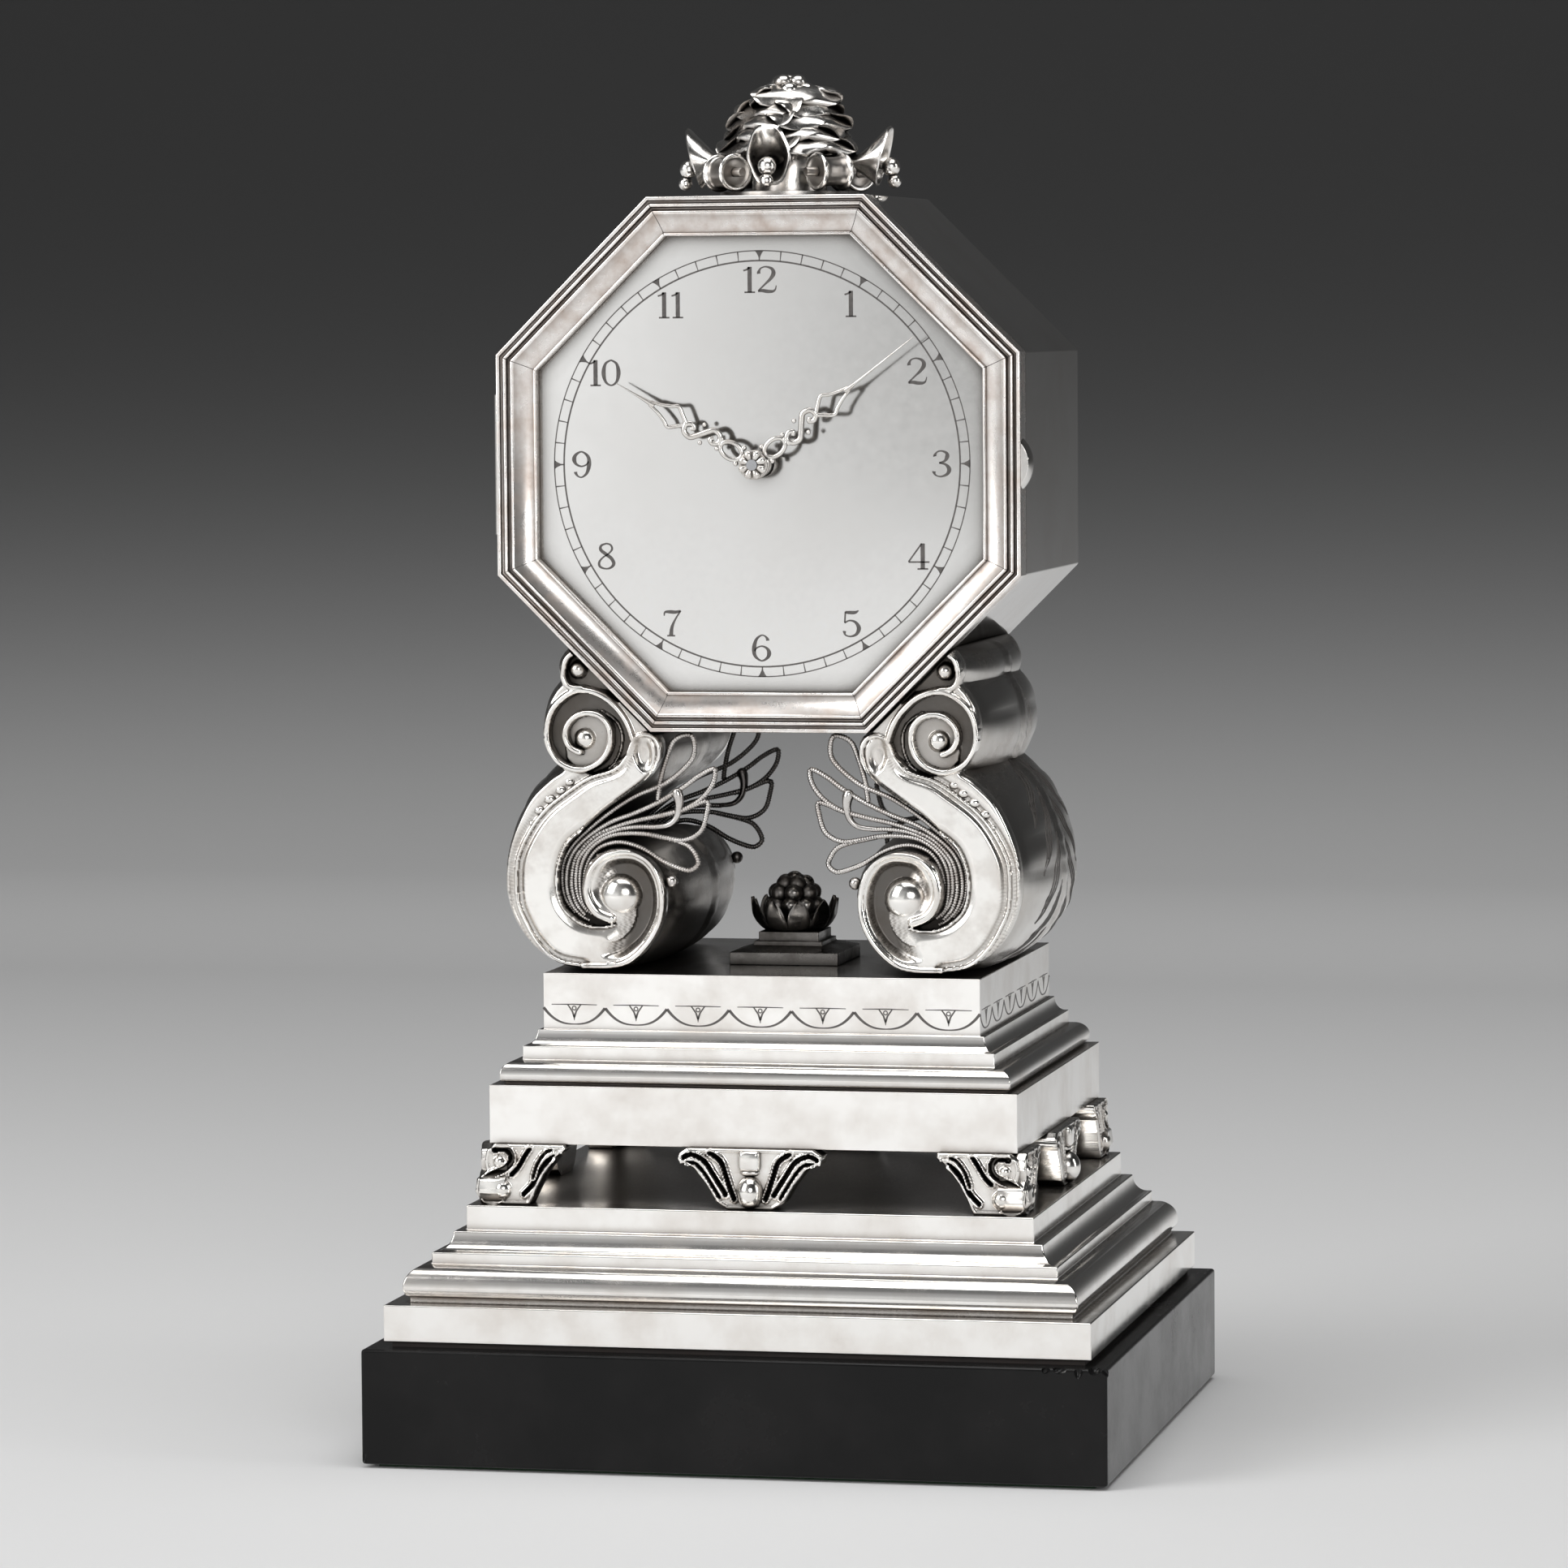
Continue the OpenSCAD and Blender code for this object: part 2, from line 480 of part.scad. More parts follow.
module leg_face_marks() {
  // Smooth band at the level of the face, with the channels open down to the floor
  slice(leg_face, floor_y) difference() {
    polygon(leg_flat);
    polygon(strip(curve(leg_path(trough_shares), 4), wire_t * 2.1, wire_t * 0.8));
    polygon(ring_curve(leg_path(hollow_shares), 3));
    translate(volute_at) circle(r = volute_r - rim_w);
    translate(disc_at) circle(r = disc_r - rim_w / 2);
  }
  // Raised rims
  slice(leg_face - rim_proud, floor_y) {
    polygon(strip(curve(leg_path(rim_shares), 4), rim_w / 2, rim_w / 2));
    polygon(strip(curve(leg_path(tail_shares), 4), rim_w / 2, rim_w / 5));
    polygon(strip(curve(leg_path(lobe_rim_shares), 4), rim_w / 2, rim_w / 2));
    polygon(strip(curve(leg_path(outer_rim_shares), 3), rim_w / 2, rim_w / 2));
    ring_at(volute_at, volute_r);
    ring_at(inner_volute_at, inner_volute_r);
    ring_at(disc_at, disc_r);
  }
  for (b = [[eye_at, ball_r], [inner_volute_at, volute_eye_r], [disc_at, disc_r * 0.42]]) difference() {
    translate([b[0].x, floor_y, b[0].y]) sphere(r = b[1], $fn = 32);
    translate([b[0].x - 2 * b[1], floor_y, b[0].y - 2 * b[1]]) cube(4 * b[1]);
  }
}
swing_gap = 0.65;
module leg_body() difference() {
  skin(leg_rings, fill(leg_flat, [for (i = [0:leg_n - 1]) i]));
  octagon_bar(case_apothem, leg_face, mid_y + leg_depth);
  octagon_bar(case_apothem + swing_gap, leg_face, case_y);
  translate([0, mid_y - leg_depth, up_z]) cube([leg_reach + leg_depth, 2 * leg_depth, up_top - up_z]);
  leg_screw_set(fit);
}
module leg_right() color(silver) leg_body();
module leg_left() color(silver) mirror([1, 0, 0]) leg_body();
module leg_faces() difference() {
  union() {
    leg_face_marks();
    translate([0, 2 * mid_y, 0]) mirror([0, 1, 0]) leg_face_marks();
  }
  octagon_bar(case_apothem, mid_y, mid_y + leg_depth);
  octagon_bar(case_apothem + swing_gap, leg_face - over - rim_proud, case_y);
}
module leg_faces_right() color(silver) leg_faces();
module leg_faces_left() color(silver) mirror([1, 0, 0]) leg_faces();

// Open sprays of wire that leave the trough of each leg
wire_r = wire_t / 2;
wire_sides = 6;
loop1_shares = [[0.79, 0.4], [0.762, 0.48], [0.702, 0.56], [0.605, 0.648], [0.504, 0.72], [0.379,
  0.778], [0.289, 0.864],
  [0.264, 0.922], [0.28, 0.984], [0.343, 0.961], [0.379, 0.874], [0.405, 0.785]];
loop2_shares = [[0.36, 0.79], [0.325, 0.797], [0.271, 0.822], [0.189, 0.845], [0.193, 0.787], [0.236,
  0.72], [0.3, 0.675]];
loop3_shares = [[0.611, 0.614], [0.504, 0.633], [0.379, 0.653], [0.289, 0.681], [0.221, 0.71], [0.221,
  0.653],
  [0.245, 0.585], [0.307, 0.552], [0.414, 0.556], [0.557, 0.57], [0.66, 0.552]];
loop4_shares = [[0.4, 0.556], [0.325, 0.541], [0.28, 0.514], [0.254, 0.46], [0.289, 0.427], [0.343,
  0.427], [0.396, 0.47],
  [0.486, 0.518], [0.575, 0.533], [0.65, 0.52], [0.715, 0.495], [0.752, 0.43], [0.757, 0.36]];
stem_shares = [[0.774, 0.37], [0.765, 0.44], [0.71, 0.525], [0.611, 0.58], [0.504, 0.592], [0.379,
  0.598], [0.33, 0.64]];
bud_shares = [[0.325, 0.66], [0.329, 0.72], [0.325, 0.76]];
function wire_path(s, n) = curve([for (p = s) [p[0] * leg_reach, floor_y - wire_r - fit,
  up_top + p[1] * leg_h]], n);
module spray() color(silver) {
  for (s = [loop1_shares, loop2_shares, loop3_shares, loop4_shares]) wire(wire_path(s, 2), wire_r,
    wire_sides);
  wire(wire_path(stem_shares, 2), wire_r, wire_sides);
  wire(wire_path(bud_shares, 3), wire_r * 1.9, wire_sides + 2);
}
module spray_front_right() spray();
module spray_front_left() mirror([1, 0, 0]) spray();
module spray_rear_right() translate([0, 2 * mid_y, 0]) mirror([0, 1, 0]) spray();
module spray_rear_left() mirror([1, 0, 0]) spray_rear_right();

// Ornament between the legs: stepped pedestal, calyx of pointed leaves and a cluster of berries
orn_w = 24;
orn_h1 = 2.7;
orn_slope = 1.2;
orn_w2 = 15.2;
orn_h2 = 0.9;
orn_w3 = 13.3;
orn_h3 = 2;
orn_z2 = up_top + orn_h1 + orn_slope;
orn_top = orn_z2 + orn_h2 + orn_h3;
orn_y = mid_y;
module square_block(w, z0, z1) translate([-w / 2, orn_y - w / 2, z0]) cube([w, w, z1 - z0]);
module ornament_pedestal() color(oxide) {
  square_block(orn_w, up_top, up_top + orn_h1);
  skin([for (r = [[orn_w, up_top + orn_h1], [orn_w2, orn_z2]])
    [for (c = [[-1, -1], [1, -1], [1, 1], [-1, 1]]) [c[0] * r[0] / 2, orn_y + c[1] * r[0] / 2, r[1]]]]);
  square_block(orn_w2, orn_z2, orn_z2 + orn_h2);
  square_block(orn_w3, orn_z2 + orn_h2, orn_top);
}
// Waved collar: rings of [radius, height, radius wave, height wave] round a vertical axis
function wave_ring(r, z, dr, dz, lobes, turn, n) = [for (i = [0:n - 1]) let (a = 360 * i / n,
  w = cos(lobes * a + turn)) [(r + dr * w) * cos(a), (r + dr * w) * sin(a), z + dz * w]];
calyx_r = 9.2;
calyx_h = 7;
calyx_t = 0.9;
calyx_leaves = 10;
module ornament_calyx() color(oxide) translate([0, orn_y, orn_top]) skin([
  wave_ring(calyx_r * 0.5, 0, 0, 0, calyx_leaves, 0, 40),
  wave_ring(calyx_r * 0.78, calyx_h * 0.25, 0.2 * calyx_t, 0, calyx_leaves, 0, 40),
  wave_ring(calyx_r * 0.95, calyx_h * 0.62, 0.5 * calyx_t, 0.12 * calyx_h, calyx_leaves, 0, 40),
  wave_ring(calyx_r, calyx_h * 0.82, 0.5 * calyx_t, 0.18 * calyx_h, calyx_leaves, 0, 40),
  wave_ring(calyx_r - calyx_t, calyx_h * 0.8, 0.5 * calyx_t, 0.18 * calyx_h, calyx_leaves, 0, 40),
  wave_ring(calyx_r * 0.86 - calyx_t, calyx_h * 0.5, 0.2 * calyx_t, 0.05 * calyx_h, calyx_leaves, 0, 40),
  wave_ring(calyx_r * 0.45, calyx_t, 0, 0, calyx_leaves, 0, 40)]);
berry_r = 2;
berry_core_r = 4.6;
module ornament_berries() color(oxide) translate([0, orn_y, orn_top + calyx_t]) {
  cylinder(r = berry_core_r * 0.8, h = calyx_h * 0.5);
  translate([0, 0, calyx_h * 0.75]) {
    sphere(r = berry_core_r, $fn = 32);
    for (row = [[7, 8, 5], [5, 48, 21]], i = [0:row[0] - 1]) rotate(row[2] + 360 * i / row[0])
      translate([berry_core_r * 1.02 * cos(row[1]), 0,
        berry_core_r * 1.02 * sin(row[1])]) sphere(r = berry_r, $fn = 24);
    translate([0, 0, berry_core_r]) sphere(r = berry_r, $fn = 24);
  }
}

// Case: octagonal shell, closed at the back, open at the front behind the bezel
back_panel_in = 6;
back_panel_step = 0.6;
module case_shell() color(silver) difference() {
  octagon_bar(case_apothem, case_y, case_rear);
  octagon_bar(case_apothem - case_wall, case_y - over, case_rear - case_wall);
  octagon_bar(case_apothem - back_panel_in, case_rear - back_panel_step, case_rear + over);
}

// Hinge at the left edge, its pin upright in the plane between bezel and case
knuckle_r = 0.75;
hinge_gap = 0.15;
pin_r = 0.35;
leaf_t = 0.4;
leaf_w = 4.5;
hinge_h = 30;
knuckles = 5;
knuckle_h = hinge_h / knuckles;
hinge_x = -(case_apothem + leaf_t + hinge_gap + knuckle_r);
hinge_y = (bezel_rear + case_y) / 2;
// Leaf with every second knuckle: side 1 belongs to the case, side -1 to the bezel
module hinge_leaf(side) {
  difference() {
    for (i = [(side > 0 ? 0 : 1):2:knuckles - 1]) translate([hinge_x, hinge_y,
      dial_z - hinge_h / 2 + i * knuckle_h + fit]) {
      cylinder(r = knuckle_r, h = knuckle_h - 2 * fit);
      translate([0, side > 0 ? knuckle_r - leaf_t : -knuckle_r, 0])
        cube([-case_apothem - hinge_x, leaf_t, knuckle_h - 2 * fit]);
    }
    translate([hinge_x, hinge_y, dial_z - hinge_h]) cylinder(r = pin_r + fit, h = 2 * hinge_h);
  }
  translate([-case_apothem - leaf_t, side > 0 ? hinge_y + knuckle_r - leaf_t : hinge_y - leaf_w,
    dial_z - hinge_h / 2])
    cube([leaf_t, leaf_w - (side > 0 ? 0 : knuckle_r - leaf_t), hinge_h]);
}
module case_hinge_leaf() color(silver) hinge_leaf(1);
module bezel_hinge_leaf() color(silver) hinge_leaf(-1);
module hinge_pin() color(steel) translate([hinge_x, hinge_y, dial_z - hinge_h / 2]) cylinder(r = pin_r,
  h = hinge_h);

// Bezel: moulded octagonal frame, rows of [share of the face width inwards, share of the dial's depth]
bezel_shares = [[0, 0.05], [0.03, 0], [0.075, 0], [0.1, 0.05], [0.1, 0.2], [0.185, 0.2], [0.185, 0.06],
  [0.21, 0.04],
  [0.245, 0.04], [0.27, 0.06], [0.27, 0.28], [0.34, 0.28], [0.36, 0.13], [0.41, 0.1], [0.46, 0.16],
    [0.53, 0.36],
  [0.62, 0.54], [0.73, 0.64], [0.83, 0.65], [0.89, 0.58], [0.91, 0.46], [0.945, 0.41], [0.98, 0.43], [1,
    0.5], [1, 1]];
rebate = 3;
bezel_rows = concat([[case_apothem, bezel_depth]],
  [for (s = bezel_shares) [case_apothem - s[0] * bezel_face, s[1] * dial_back]],
  [[case_apothem - bezel_face + rebate, dial_back], [case_apothem - bezel_face + rebate, bezel_depth]]);
module bezel() color(silver) translate([0, bezel_y, dial_z]) rotate([-90, 0, 0]) rotate(octagon_turn)
  rotate_extrude($fn = 8) polygon([for (r = bezel_rows) [r[0] * octagon_k, r[1]]]);
thumb_r = (thumb_l * thumb_l / 4 + thumb_out * thumb_out) / (2 * thumb_out);
thumb_w = bezel_depth - 2 * door_gap;
module thumb_piece() color(silver) intersection() {
  translate([case_apothem + thumb_out - thumb_r, (bezel_y + bezel_rear) / 2, dial_z]) sphere(r = thumb_r);
  translate([case_apothem, (bezel_y + bezel_rear) / 2 - thumb_w / 2, dial_z - thumb_l]) cube([thumb_l,
    thumb_w, 2 * thumb_l]);
}

// Dial and the plate that holds it and the movement in the bezel
cannon_r = 1.7;
arbor_r = 1.15;
pipe_r = 2.6;
module dial_plate() color(silver) difference() {
  octagon_bar(case_apothem - bezel_face + rebate - door_gap, dial_y, dial_rear);
  bar(0, dial_z, dial_y - over, dial_rear + over, pipe_r + free);
}
carrier_t = 1.2;
carrier_rib_w = 3;
carrier_y1 = bezel_rear + carrier_t;
work_hole_r = 25;
work_room = 4.2;
plate_y = dial_rear + work_room;
post_r = 2.2;
post_in = 4;
post_at = plate_r - post_in;
module four_posts(y0, y1, r) for (x = [-1, 1], z = [-1, 1])
  bar(x * post_at * cos(45), dial_z + z * post_at * sin(45), y0, y1, r);
module carrier_plate() color(brass) difference() {
  union() {
    octagon_bar(case_apothem - case_wall - 2 * door_gap, bezel_rear, carrier_y1);
    difference() {
      bar(0, dial_z, dial_rear, bezel_rear, case_apothem - bezel_face);
      bar(0, dial_z, dial_rear - over, bezel_rear + over, case_apothem - bezel_face - carrier_rib_w);
    }
    four_posts(carrier_y1, plate_y, post_r);
  }
  bar(0, dial_z, bezel_rear - over, carrier_y1 + over, work_hole_r);
}

// Going train: places in the plane of the dial, from its middle
barrel_teeth = 84;
centre_leaves = 12;
centre_teeth = 64;
third_leaves = 8;
third_teeth = 60;
cannon_leaves = 12;
minute_teeth = 36;
minute_leaves = 10;
hour_teeth = 40;
third_module = train_module * 0.875;
barrel_at = (barrel_teeth + centre_leaves) / 2 * train_module;
third_far = (centre_teeth + third_leaves) / 2 * train_module;
third_angle = 60;
third_x = third_far * cos(third_angle);
third_z = third_far * sin(third_angle);
minute_far = (cannon_leaves + minute_teeth) / 2 * motion_module;
minute_pinion_module = 2 * minute_far / (minute_leaves + hour_teeth);
train_y = plate_y + plate_t;
minute_wheel_t = 0.8;
minute_wheel_y = plate_y - free - minute_wheel_t;
hour_wheel_y = minute_wheel_y - 2 * free - minute_wheel_t;
hour_hand_y = dial_y - hour_hand_up;
cannon_over = 0.6;
back_y = train_y + plate_gap;
rear_y = back_y + plate_t;
barrel_h = plate_gap * 0.58;
barrel_y = train_y + free;
barrel_arbor_r = 2;
barrel_tooth_h = 1.8;
pinion_y = barrel_y + barrel_h - barrel_tooth_h;
centre_wheel_y = barrel_y + barrel_h + 2 * free;
wheel_t = 1.1;
third_r = 0.8;
minute_stud_r = 0.9;
// Tooth: half width at root, pitch and tip as shares of the pitch angle, heights in modules
root_share = 0.26;
pitch_share = 0.19;
tip_share = 0.1;
root_depth_share = 1.05;
tip_height_share = 0.75;
function tooth_pts(n, m, turn) = let (p = 360 / n, r = n * m / 2) [for (i = [0:n - 1],
  t = [[-root_share, -root_depth_share], [-pitch_share, 0], [-tip_share, tip_height_share],
    [tip_share, tip_height_share], [pitch_share, 0], [root_share, -root_depth_share]])
  let (a = turn + i * p + t[0] * p, q = r + t[1] * m) [q * cos(a), q * sin(a)]];
module gear(x, z, y0, h, n, m, turn, bore) translate([x, 0, z]) slice(y0, y0 + h) difference() {
  polygon(tooth_pts(n, m, turn));
  circle(r = bore);
}
// Wheel with four crossings cut out between hub and rim
module crossings(r_in, r_out, arm, turn) for (k = [0:3]) rotate(turn + 90 * k) difference() {
  intersection() {
    circle(r = r_out);
    translate([arm / 2, arm / 2]) square(r_out);
  }
  circle(r = r_in);
}
module crossed_gear(x, z, y0, h, n, m, turn, bore, hub) translate([x, 0, z]) slice(y0,
  y0 + h) difference() {
  polygon(tooth_pts(n, m, turn));
  circle(r = bore);
  crossings(hub, n * m / 2 - 2.6 * m, 3 * m, turn);
}
module plate_holes(y0, y1) {
  bar(0, dial_z, y0, y1, arbor_r + fit);
  bar(0, dial_z - barrel_at, y0, y1, barrel_arbor_r + fit);
  bar(third_x, dial_z + third_z, y0, y1, third_r + fit);
}
module front_plate() color(brass) {
  difference() {
    bar(0, dial_z, plate_y, train_y, plate_r);
    plate_holes(plate_y - over, train_y + over);
  }
  bar(minute_far, dial_z, minute_wheel_y - free, plate_y, minute_stud_r);
}
// Escapement on its platform behind the back plate
balance_at = plate_r * 0.58;
balance_r = 8;
staff_r = 0.5;
platform_t = 1;
platform_r = balance_r + 2;
cock_gap = 5;
click_post_r = 0.75;
module back_plate() color(brass) {
  difference() {
    bar(0, dial_z, back_y, rear_y, plate_r);
    plate_holes(back_y - over, rear_y + over);
    bar(0, dial_z + balance_at, back_y - over, rear_y + over, 4 * staff_r);
  }
  bar(click_x, dial_z - barrel_at + click_up, rear_y, rear_y + 2 * free + wheel_t, click_post_r);
}
pillar_r = 2.4;
module pillars() color(brass) {
  four_posts(train_y, back_y, pillar_r);
  four_posts(rear_y, rear_y + carrier_t, pillar_r * 0.8);
}
module mainspring_barrel() color(brass) difference() {
  union() {
    bar(0, dial_z - barrel_at, barrel_y, pinion_y, (barrel_teeth / 2 - 3) * train_module);
    gear(0, dial_z - barrel_at, pinion_y, barrel_tooth_h, barrel_teeth, train_module, 90, barrel_arbor_r);
  }
  bar(0, dial_z - barrel_at, barrel_y - over, barrel_y + barrel_h + over, barrel_arbor_r + fit);
}
// Winding arbor with ratchet wheel and square end
ratchet_teeth = 24;
ratchet_r = 7.5;
ratchet_depth = 0.9;
square_w = 2.8;
square_l = 5;
module winding_arbor() color(steel) translate([0, 0, dial_z - barrel_at]) {
  bar(0, 0, plate_y + free, rear_y + free + wheel_t, barrel_arbor_r);
  slice(rear_y + free, rear_y + free + wheel_t) polygon([for (i = [0:ratchet_teeth - 1], t = [0, 1])
    let (a = 360 / ratchet_teeth * (i + t * 0.12), r = ratchet_r - (1 - t) * ratchet_depth) [r * cos(a),
      r * sin(a)]]);
  translate([-square_w / 2, rear_y + free + wheel_t, -square_w / 2]) cube([square_w, square_l, square_w]);
}
click_r = 1.6;
click_x = ratchet_r + free + 2 * click_r;
click_up = ratchet_r / 4;
click_angle = 51;
click_nose_share = 0.25;
module click() color(steel) translate([0, rear_y + free, dial_z - barrel_at]) difference() {
  slice(0, wheel_t) {
    translate([click_x, click_up]) circle(r = click_r);
    polygon(strip([[click_x, click_up], (ratchet_r + free + click_r * click_nose_share)
      * [cos(click_angle), sin(click_angle)]], click_r, click_r * click_nose_share));
  }
  bar(click_x, click_up, -over, wheel_t + over, click_post_r + fit);
}
// Centre arbor with wheel, pinion and the knob that sets the hands from behind
knob_r = 4;
knob_t = 2.4;
knob_ribs = 18;
rosette_y = hour_hand_y - 2 * hand_t - hand_gap - cannon_over;
module centre_arbor() color(steel) {
  bar(0, dial_z, rosette_y, rear_y + square_l, arbor_r);
  gear(0, dial_z, pinion_y - free, barrel_tooth_h + 2 * free, centre_leaves, train_module,
    -90 + 180 / centre_leaves, arbor_r);
  crossed_gear(0, dial_z, centre_wheel_y, wheel_t, centre_teeth, train_module, third_angle, arbor_r,
    3 * arbor_r);
  translate([0, 0, dial_z]) slice(rear_y + square_l - knob_t, rear_y + square_l) difference() {
    polygon([for (i = [0:knob_ribs - 1], t = [0, 1]) let (a = 360 / knob_ribs * (i + t / 2))
      (knob_r - t * fit * 4) * [cos(a), sin(a)]]);
    circle(r = arbor_r);
  }
}
module third_wheel() color(brass) {
  bar(third_x, dial_z + third_z, plate_y + free, rear_y - free, third_r);
  gear(third_x, dial_z + third_z, centre_wheel_y - free, wheel_t + 2 * free, third_leaves, train_module,
    third_angle + 180 + 180 / third_leaves, third_r);
  crossed_gear(third_x, dial_z + third_z, train_y + 2 * free, wheel_t, third_teeth, third_module, 0,
    third_r, 3 * third_r);
}
// Motion work between dial and front plate
module cannon_pinion() color(steel) difference() {
  union() {
    bar(0, dial_z, hour_hand_y - hand_gap - hand_t - cannon_over, plate_y - free, cannon_r);
    gear(0, dial_z, minute_wheel_y - free / 2, minute_wheel_t + free, cannon_leaves, motion_module, 0,
      cannon_r);
  }
  bar(0, dial_z, hour_hand_y - 2 * hand_gap - hand_t - cannon_over, plate_y, arbor_r);
}
module minute_wheel() color(brass) difference() {
  union() {
    gear(minute_far, dial_z, minute_wheel_y, minute_wheel_t, minute_teeth, motion_module,
      180 + 180 / minute_teeth, minute_stud_r);
    gear(minute_far, dial_z, hour_wheel_y - free / 2, minute_wheel_y - hour_wheel_y + free / 2,
      minute_leaves,
      minute_pinion_module, 180 + 180 / minute_leaves, minute_stud_r);
  }
  bar(minute_far, dial_z, hour_wheel_y - over, plate_y, minute_stud_r + fit);
}
module hour_wheel() color(brass) difference() {
  union() {
    bar(0, dial_z, hour_hand_y - cannon_over / 2, hour_wheel_y + minute_wheel_t, pipe_r);
    gear(0, dial_z, hour_wheel_y, minute_wheel_t, hour_teeth, minute_pinion_module, 0, pipe_r);
  }
  bar(0, dial_z, hour_hand_y - over, hour_wheel_y + over + minute_wheel_t, cannon_r + fit);
}
// Closed block with the fourth and escape wheels
block_w = 9;
block_x = -block_w * 1.1;
module escapement_block() color(brass) {
  translate([block_x - block_w / 2, train_y, dial_z + balance_at - block_w / 2]) cube([block_w,
    plate_gap, block_w]);
  bar(0, dial_z + balance_at, rear_y, rear_y + platform_t, platform_r);
}
wheel_rim = 1.1;
module balance_wheel() color(brass) translate([0, 0, dial_z + balance_at]) {
  bar(0, 0, rear_y + platform_t + fit, rear_y + platform_t + cock_gap - fit, staff_r);
  slice(rear_y + platform_t + cock_gap * 0.3, rear_y + platform_t + cock_gap * 0.3 + wheel_t) difference() {
    circle(r = balance_r - free);
    circle(r = staff_r);
    for (k = [-1, 1]) intersection() {
      circle(r = balance_r - free - wheel_rim);
      translate([-balance_r, k > 0 ? wheel_rim / 2 : -balance_r - wheel_rim / 2]) square([2 * balance_r,
        balance_r]);
    }
  }
}
cock_w = 5;
cock_y = rear_y + platform_t + cock_gap;
module balance_cock() color(brass) {
  translate([-cock_w / 2, cock_y, dial_z + balance_at - cock_w / 2]) cube([cock_w, platform_t,
    platform_r + cock_w]);
  translate([-cock_w / 2, rear_y, dial_z + balance_at + platform_r + free]) cube([cock_w,
    cock_y - rear_y, cock_w / 2 - free]);
  bar(0, dial_z + balance_at, cock_y + platform_t, cock_y + 2 * platform_t + free, 3 * staff_r);
}
regulator_l = 7;
module regulator() color(steel) difference() {
  union() {
    bar(0, dial_z + balance_at, cock_y + platform_t + fit, cock_y + 2 * platform_t, 6 * staff_r);
    translate([-staff_r, cock_y + platform_t + fit, dial_z + balance_at - regulator_l])
      cube([2 * staff_r, platform_t - fit, regulator_l - 4 * staff_r]);
  }
  bar(0, dial_z + balance_at, cock_y, cock_y + 3 * platform_t, 3 * staff_r + fit);
}

// Hands: ring boss, oval ring, scroll and open kite, as shares of the length
collet_r = 3.9;
ring_shares = [0.2, 0.075];
scroll_shares = [0.29, 0.37, 0.045];
kite_shares = [[0.0, 0.4], [0.058, 0.47], [0.045, 0.54], [0.018, 0.62], [0.011, 0.8], [0.004, 0.99], [0,
  1]];
kite_hole_shares = [[0, 0.44], [0.03, 0.475], [0.018, 0.56], [0, 0.6]];
hand_rib = 0.55;
module hand_shape(l, w, bore) difference() {
  union() {
    circle(r = collet_r);
    translate([0, ring_shares[0] * l]) circle(r = ring_shares[1] * w);
    for (k = [-1, 1]) translate([k * scroll_shares[2] * w * 0.8, scroll_shares[k < 0 ? 0 : 1] * l])
      circle(r = scroll_shares[2] * w);
    translate([-hand_rib, collet_r * 0.9]) square([2 * hand_rib, l * kite_shares[1][1] - collet_r]);
    polygon(concat([for (s = kite_shares) [s[0] * w, s[1] * l]],
      [for (i = [len(kite_shares) - 2:-1:1]) [-kite_shares[i][0] * w, kite_shares[i][1] * l]]));
  }
  circle(r = bore);
  translate([0, ring_shares[0] * l]) circle(r = ring_shares[1] * w - 1.6 * hand_rib);
  for (k = [-1, 1]) translate([k * scroll_shares[2] * w * 0.8, scroll_shares[k < 0 ? 0 : 1] * l])
    circle(r = scroll_shares[2] * w - 1.2 * hand_rib);
  polygon(concat([for (s = kite_hole_shares) [s[0] * w, s[1] * l]],
    [for (i = [2:-1:1]) [-kite_hole_shares[i][0] * w, kite_hole_shares[i][1] * l]]));
}
module hour_hand() color(steel) translate([0, 0, dial_z]) slice(hour_hand_y, hour_hand_y + hand_t)
  rotate(-hour_angle) hand_shape(hour_hand_l, hour_hand_l, pipe_r);
minute_hand_y = hour_hand_y - hand_gap - hand_t;
module minute_hand() color(steel) translate([0, 0, dial_z]) slice(minute_hand_y, minute_hand_y + hand_t)
  rotate(-minute_angle) hand_shape(minute_hand_l, hour_hand_l, cannon_r);
rosette_r = 3.3;
petals = 8;
module hand_rosette() color(silver) difference() {
  translate([0, rosette_y, dial_z]) {
    for (i = [0:petals - 1]) rotate([0, 360 / petals * i, 0]) translate([rosette_r * 0.68, 0, 0])
      sphere(r = rosette_r * 0.32, $fn = 24);
    sphere(r = rosette_r * 0.5, $fn = 24);
  }
  bar(0, dial_z, rosette_y, rosette_y + rosette_r, rosette_r + over);
}

// Finial: base disc and stem, waved collars of a cone, berries, four horns and four ringed barrels
finial_base_r = 15;
finial_base_t = 1.2;
stem_r = 7.5;
collar_t = 1.1;
finial_z = case_top;
collar_rows = [[1, 0.43, 8], [0.9, 0.54, 7], [0.76, 0.64, 6], [0.62, 0.73, 6], [0.47, 0.81, 5]];
cone_share = 0.36;
collar_turn = 70;
berry_share = 0.85;
module collar(r, z, lobes, turn) skin([
  wave_ring(r * 0.55, z - collar_t, 0, 0, lobes, turn, 36),
  wave_ring(r * 0.96, z - collar_t, 0.05 * r, collar_t * 0.6, lobes, turn, 36),
  wave_ring(r, z, 0.05 * r, collar_t * 0.6, lobes, turn, 36),
  wave_ring(r * 0.5, z + collar_t * 0.7, 0, 0, lobes, turn, 36)]);
